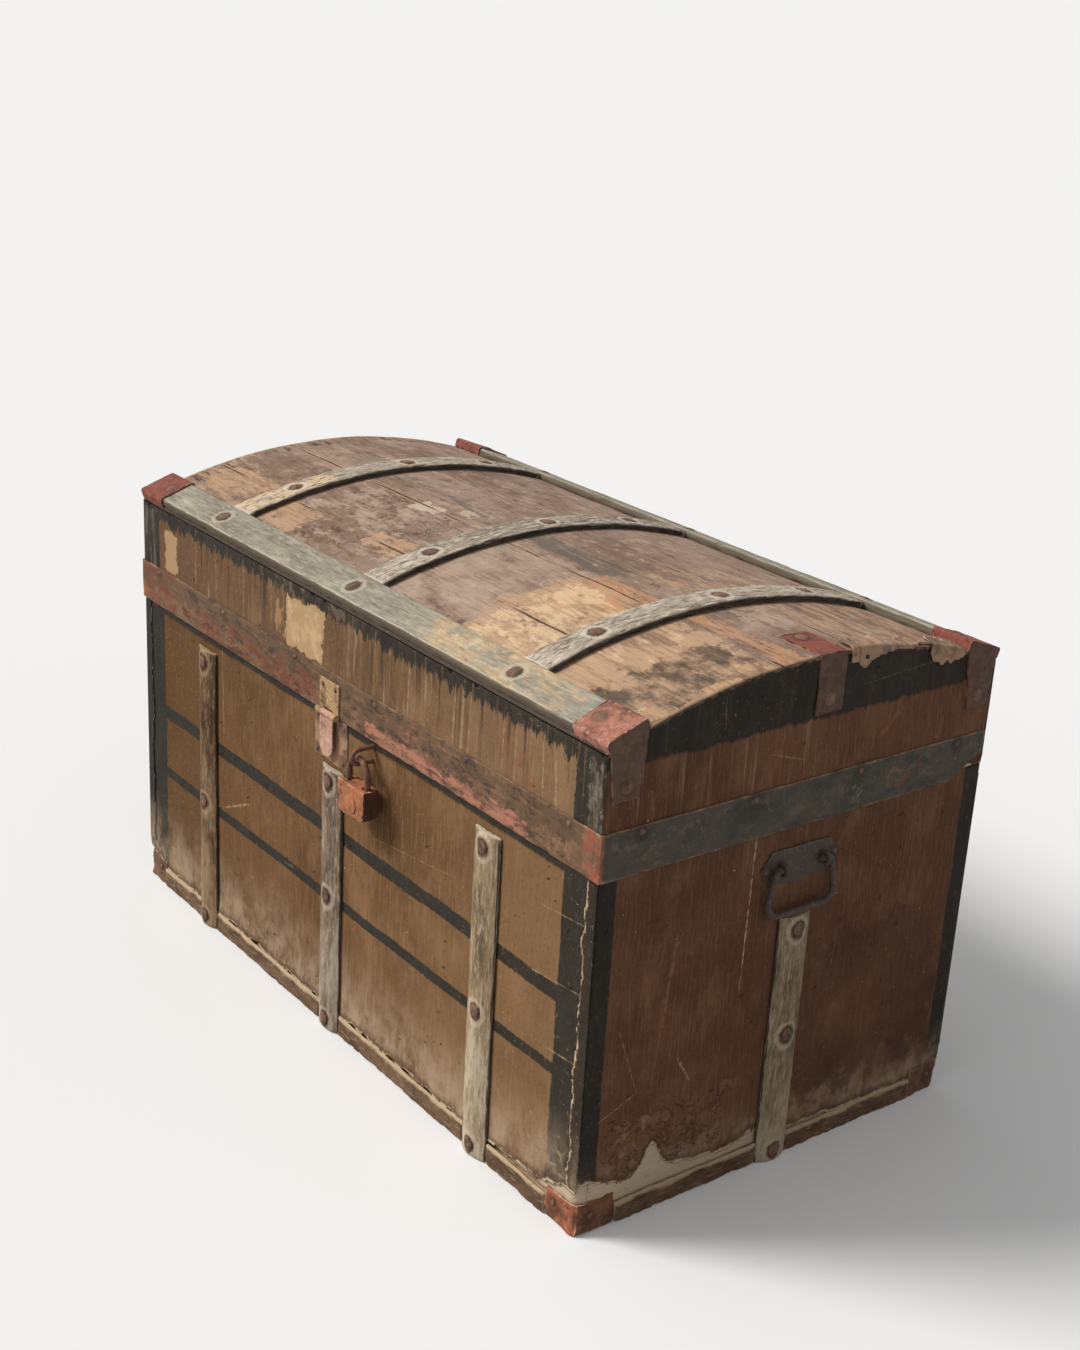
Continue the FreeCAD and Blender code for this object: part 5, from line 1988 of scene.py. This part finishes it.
@dataclass
class Ironwork:
    """Band, clamps, caps, binding, handles, hinges, lock and nails.

    Args:
        smithy: the shared mesh work.
        boss_radius: radius of the raised disc on the padlock.
        boss_height: how far it stands out.
        boss_root: how deep it is sunk in the case.
        boss_drop: how far its middle lies below that of the case.
        boss_rounding: radius of its edge.
    """

    smithy: Smithy
    boss_radius: float = 0.0105
    boss_height: float = 0.0009
    boss_root: float = 0.001
    boss_drop: float = 0.003
    boss_rounding: float = 0.0007

    CORNERS = ("front_left", "front_right", "rear_left", "rear_right")
    BAND = BandFinish("band_rust", paint(104, 79, 58), paint(132, 100, 76), paint(156, 120, 93),
                      paint(176, 142, 114), 0.5)
    # These clamp and cap finishes paint shade on the faces that look towards the ends; the near
    # cap's painted shade is a dark brown.
    RED = ClampFinish("red_clamp_rust", paint(88, 52, 43), paint(130, 70, 56), paint(154, 96, 80),
                      paint(184, 134, 112), 0.54)
    PINK = ClampFinish("pink_clamp_rust", paint(104, 68, 56), paint(168, 112, 92),
                       paint(200, 154, 132), paint(218, 184, 160), 0.52)
    ORANGE = ClampFinish("cap_rust", paint(92, 60, 45), paint(164, 98, 66), paint(200, 138, 102),
                         paint(224, 188, 156), 0.52, paint(126, 86, 64), paint(72, 50, 39))
    BROWN = IronFinish("dull_cap_rust", paint(84, 62, 48), paint(122, 88, 66), paint(148, 108, 82),
                       paint(180, 146, 118), 0.5)
    DARK = IronFinish("handle_iron", paint(74, 68, 62), paint(100, 78, 65), paint(120, 90, 74),
                      paint(132, 118, 104), 0.36)
    NAIL = IronFinish("nail_rust", paint(78, 58, 48), paint(124, 92, 75), paint(152, 118, 98),
                      paint(176, 144, 122), 0.5)
    STRAP = IronFinish("strap_rust", paint(118, 84, 70), paint(196, 152, 132), paint(222, 188, 168),
                       paint(234, 210, 190), 0.6)
    HASP = IronFinish("hasp_rust", paint(104, 78, 54), paint(182, 146, 104), paint(214, 182, 138),
                      paint(228, 204, 168), 0.56)
    LOCK = IronFinish("lock_plate_rust", paint(98, 73, 54), paint(166, 128, 98),
                      paint(192, 156, 122), paint(222, 194, 164), 0.56)
    SHACKLE = IronFinish("shackle_rust", paint(84, 60, 50), paint(122, 84, 66), paint(160, 118, 94),
                         paint(190, 160, 136), 0.5)
    # The padlock's faces that look towards the ends get a near-black painted shade.
    PADLOCK = ClampFinish("padlock_rust", paint(96, 60, 44), paint(170, 108, 72),
                          paint(206, 140, 96), paint(218, 176, 138), 0.56, paint(50, 34, 27),
                          paint(34, 25, 21))

    def build(self) -> None:
        """Make all the ironwork."""
        worn, dress = self.smithy.worn_copy, self.smithy.dress
        worn("lid_band", Stock.BAND, self.BAND.material(), Slot.BAND)
        finishes = (self.RED, self.PINK, self.ORANGE, self.BROWN, self.DARK)
        red, pink, orange, brown, dark = (finish.material() for finish in finishes)
        for corner in self.CORNERS:
            near = corner == "front_right"
            worn(f"corner_clamp_{corner}", Stock.CLAMP, pink if near else red, Slot.IRON)
            worn(f"base_cap_{corner}", Stock.CAP, orange if near else brown, Slot.IRON)
        for end in ("left", "right"):
            worn(f"handle_plate_{end}", Stock.PLATE, dark, Slot.IRON)
            dress(dark, f"bail_{end}", f"hinge_chest_leaf_{end}", f"hinge_lid_leaf_{end}")
        dress(dark, "handle_eyes", "hinge_pins")
        worn("dome_clamp", Stock.CLAMP, red, Slot.IRON)
        fibre = FibreFinish("binding_fibre_worn").material()
        worn("base_binding", Stock.FIBRE, fibre, Slot.BINDING)
        dress(self.NAIL.material(), *Smithy.NAIL_NODES)
        self.lock()

    def lock(self) -> None:
        """Make the lock plate, the hasp and the padlock."""
        worn, dress = self.smithy.worn_copy, self.smithy.dress
        worn("lock_plate", Stock.PLATE, self.LOCK.material(), Slot.IRON)
        dress(self.HASP.material(), "hasp_plate")
        dress(self.STRAP.material(), "hasp_strap", "hasp_pin")
        dress(self.SHACKLE.material(), "padlock_staple", "padlock_shackle", "padlock_rivet")
        orange = self.PADLOCK.material()
        worn("padlock_case", Stock.CASE, orange, Slot.LOCK)
        self.boss(orange)

    def boss(self, material: Material) -> None:
        """Make the raised disc on the front of the padlock.

        Args:
            material: its finish.
        """
        low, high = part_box("padlock_case")
        middle = (low + high) / 2
        root = (middle.x, low.y + self.boss_root, middle.z - self.boss_drop)
        bm = bmesh.new()
        place = Matrix.Translation(root) @ Matrix.Rotation(math.pi / 2, 4, "X")
        bmesh.ops.create_circle(bm, cap_ends=True, segments=36, radius=self.boss_radius,
                                matrix=place)
        made = bmesh.ops.extrude_face_region(bm, geom=bm.faces[:])
        raised = [item for item in made["geom"] if isinstance(item, bmesh.types.BMVert)]
        bmesh.ops.translate(bm, verts=raised, vec=(0, -self.boss_height - self.boss_root, 0))
        bmesh.ops.recalc_face_normals(bm, faces=bm.faces)
        self.smithy.soften(bm, self.boss_rounding)
        self.smithy.settle(bm, "padlock_boss", material, Body.PADLOCK.value, Slot.LOCK, ())


@dataclass
class Studio:
    """Floor, light and camera.

    Args:
        azimuth: turn of the camera round the trunk, in degrees.
        elevation: its height over the horizon.
        roll: its tilt.
        distance: its distance from the target.
        target: the point in the middle of the picture.
        lens: focal length on a 36 mm frame.
        sun_from: the way to the main light.
        sun_strength: its strength.
        sun_angle: its softness, in degrees.
        soft_strength: strength of a broad light beside it.
        soft_angle: softness of that light.
        fill_from: the way to the faint light on the shaded end.
        fill_strength: strength of that light.
        sky: light from all round.
        backdrop: level of the pale background.
        floor_level: how pale the floor looks.
        floor_drop: how far it lies below the trunk.
        floor_bounce: how much light the floor gives back to the trunk.
        floor_glow: light that the floor shows of its own, which lifts its shadow.
        floor_reach: half the size of the floor.
    """

    azimuth: float = 52.284
    elevation: float = 20.643
    roll: float = 3.242
    distance: float = 1.9275
    target: Triple = (0.1021, -0.0601, 0.4018)
    lens: float = 51.185
    sun_from: Triple = (-0.500, -0.549, 0.669)
    sun_strength: float = 2.85
    sun_angle: float = 21.0
    soft_strength: float = 0.7
    soft_angle: float = 84.0
    fill_from: Triple = (0.90, -0.10, 0.42)
    fill_strength: float = 0.20
    sky: float = 0.27
    backdrop: float = 0.887
    floor_level: float = 0.86
    floor_drop: float = 0.0006
    floor_bounce: float = 0.45
    floor_glow: float = 0.07
    floor_reach: float = 300.0

    LAMP_TINT = (1.0, 0.985, 0.96)
    SKY_TINT = (0.98, 0.99, 1.0, 1.0)
    FILM_WIDTH = 36.0

    def build(self) -> None:
        """Set up the floor, the light and the camera."""
        self.floor()
        self.light("main_light", self.sun_from, self.sun_strength, self.sun_angle)
        self.light("soft_light", self.sun_from, self.soft_strength, self.soft_angle)
        self.light("fill_light", self.fill_from, self.fill_strength, self.soft_angle)
        self.world()
        self.camera()
        bpy.context.scene.view_settings.view_transform = "Standard"

    @staticmethod
    def grey(level: float) -> Colour:
        """Colour without a hue."""
        return (level, level, level, 1.0)

    @staticmethod
    def show(nodes: Nodes, output: str, lit: bpy.types.Node, shown: bpy.types.Node) -> None:
        """Show one shader to the camera, a reflection or glass, and another to the trunk.

        Args:
            nodes: the node tree.
            output: type of its output node.
            lit: the shader that lights the trunk.
            shown: the shader that is seen.
        """
        path = nodes.node("ShaderNodeLightPath").outputs
        seen = path["Is Camera Ray"]
        for name in ("Is Glossy Ray", "Is Transmission Ray"):
            seen = nodes.node("ShaderNodeMath", seen, path[name], operation="MAXIMUM").outputs[0]
        mix = nodes.node("ShaderNodeMixShader", seen, lit.outputs[0], shown.outputs[0])
        nodes.node(output, mix.outputs[0])

    def floor(self) -> None:
        """Lay the pale floor."""
        bm = bmesh.new()
        bmesh.ops.create_grid(bm, x_segments=1, y_segments=1, size=self.floor_reach,
                              matrix=Matrix.Translation((0, 0, -self.floor_drop)))
        mesh = bpy.data.meshes.new("floor")
        bm.to_mesh(mesh)
        bm.free()
        material = bpy.data.materials.new("floor_pale")
        nodes = Nodes(material)
        pale, bounce = (nodes.node("ShaderNodeBsdfDiffuse", self.grey(level))
                        for level in (self.floor_level - self.floor_glow, self.floor_bounce))
        glow = nodes.node("ShaderNodeEmission", self.grey(self.floor_glow))
        shown = nodes.node("ShaderNodeAddShader", pale.outputs[0], glow.outputs[0])
        self.show(nodes, "ShaderNodeOutputMaterial", bounce, shown)
        mesh.materials.append(material)
        floor = bpy.data.objects.new("floor", mesh)
        bpy.context.scene.collection.objects.link(floor)
        floor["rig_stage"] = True

    def light(self, name: str, way: Triple, strength: float, angle: float) -> None:
        """Hang one far light.

        Args:
            name: its name.
            way: the way to it.
            strength: its strength.
            angle: its softness, in degrees.
        """
        lamp = bpy.data.lights.new(name, "SUN")
        lamp.energy = strength
        lamp.angle = math.radians(angle)
        lamp.color = self.LAMP_TINT
        hung = bpy.data.objects.new(name, lamp)
        hung.rotation_mode = "QUATERNION"
        hung.rotation_quaternion = Vector(way).to_track_quat("Z", "Y")
        bpy.context.scene.collection.objects.link(hung)

    def world(self) -> None:
        """Set the light from all round and the background."""
        world = bpy.data.worlds.new("studio")
        bpy.context.scene.world = world
        nodes = Nodes(world)
        around = nodes.node("ShaderNodeBackground", self.SKY_TINT, self.sky)
        behind = nodes.node("ShaderNodeBackground", self.grey(self.backdrop))
        self.show(nodes, "ShaderNodeOutputWorld", around, behind)

    def camera(self) -> None:
        """Stand the camera where the photograph was taken."""
        turn, rise, tilt = (math.radians(a) for a in (self.azimuth, self.elevation, self.roll))
        flat = math.cos(rise)
        back = Vector((math.sin(turn) * flat, -math.cos(turn) * flat, math.sin(rise)))
        look = (-back).to_track_quat("-Z", "Y").to_matrix().to_4x4()
        data = bpy.data.cameras.new("photo_camera")
        data.lens = self.lens
        data.sensor_width = self.FILM_WIDTH
        data.clip_start, data.clip_end = 0.05, 1000.0
        camera = bpy.data.objects.new("photo_camera", data)
        place = Matrix.Translation(Vector(self.target) + back * self.distance)
        camera.matrix_world = place @ look @ Matrix.Rotation(tilt, 4, "Z")
        bpy.context.scene.collection.objects.link(camera)
        bpy.context.scene.camera = camera


def main() -> None:
    """Build the trunk's looks."""
    logging.basicConfig(level=logging.INFO, format="%(message)s")
    # Left unseeded, Blender's noise starts from the clock, and each run has other dents.
    noise.seed_set(DENT_SEED)
    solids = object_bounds()
    smithy = Smithy(solids)
    for assembly in (Coverings(smithy), Woodwork(smithy), Ironwork(smithy), Studio()):
        assembly.build()


if __name__ == "__main__":
    main()
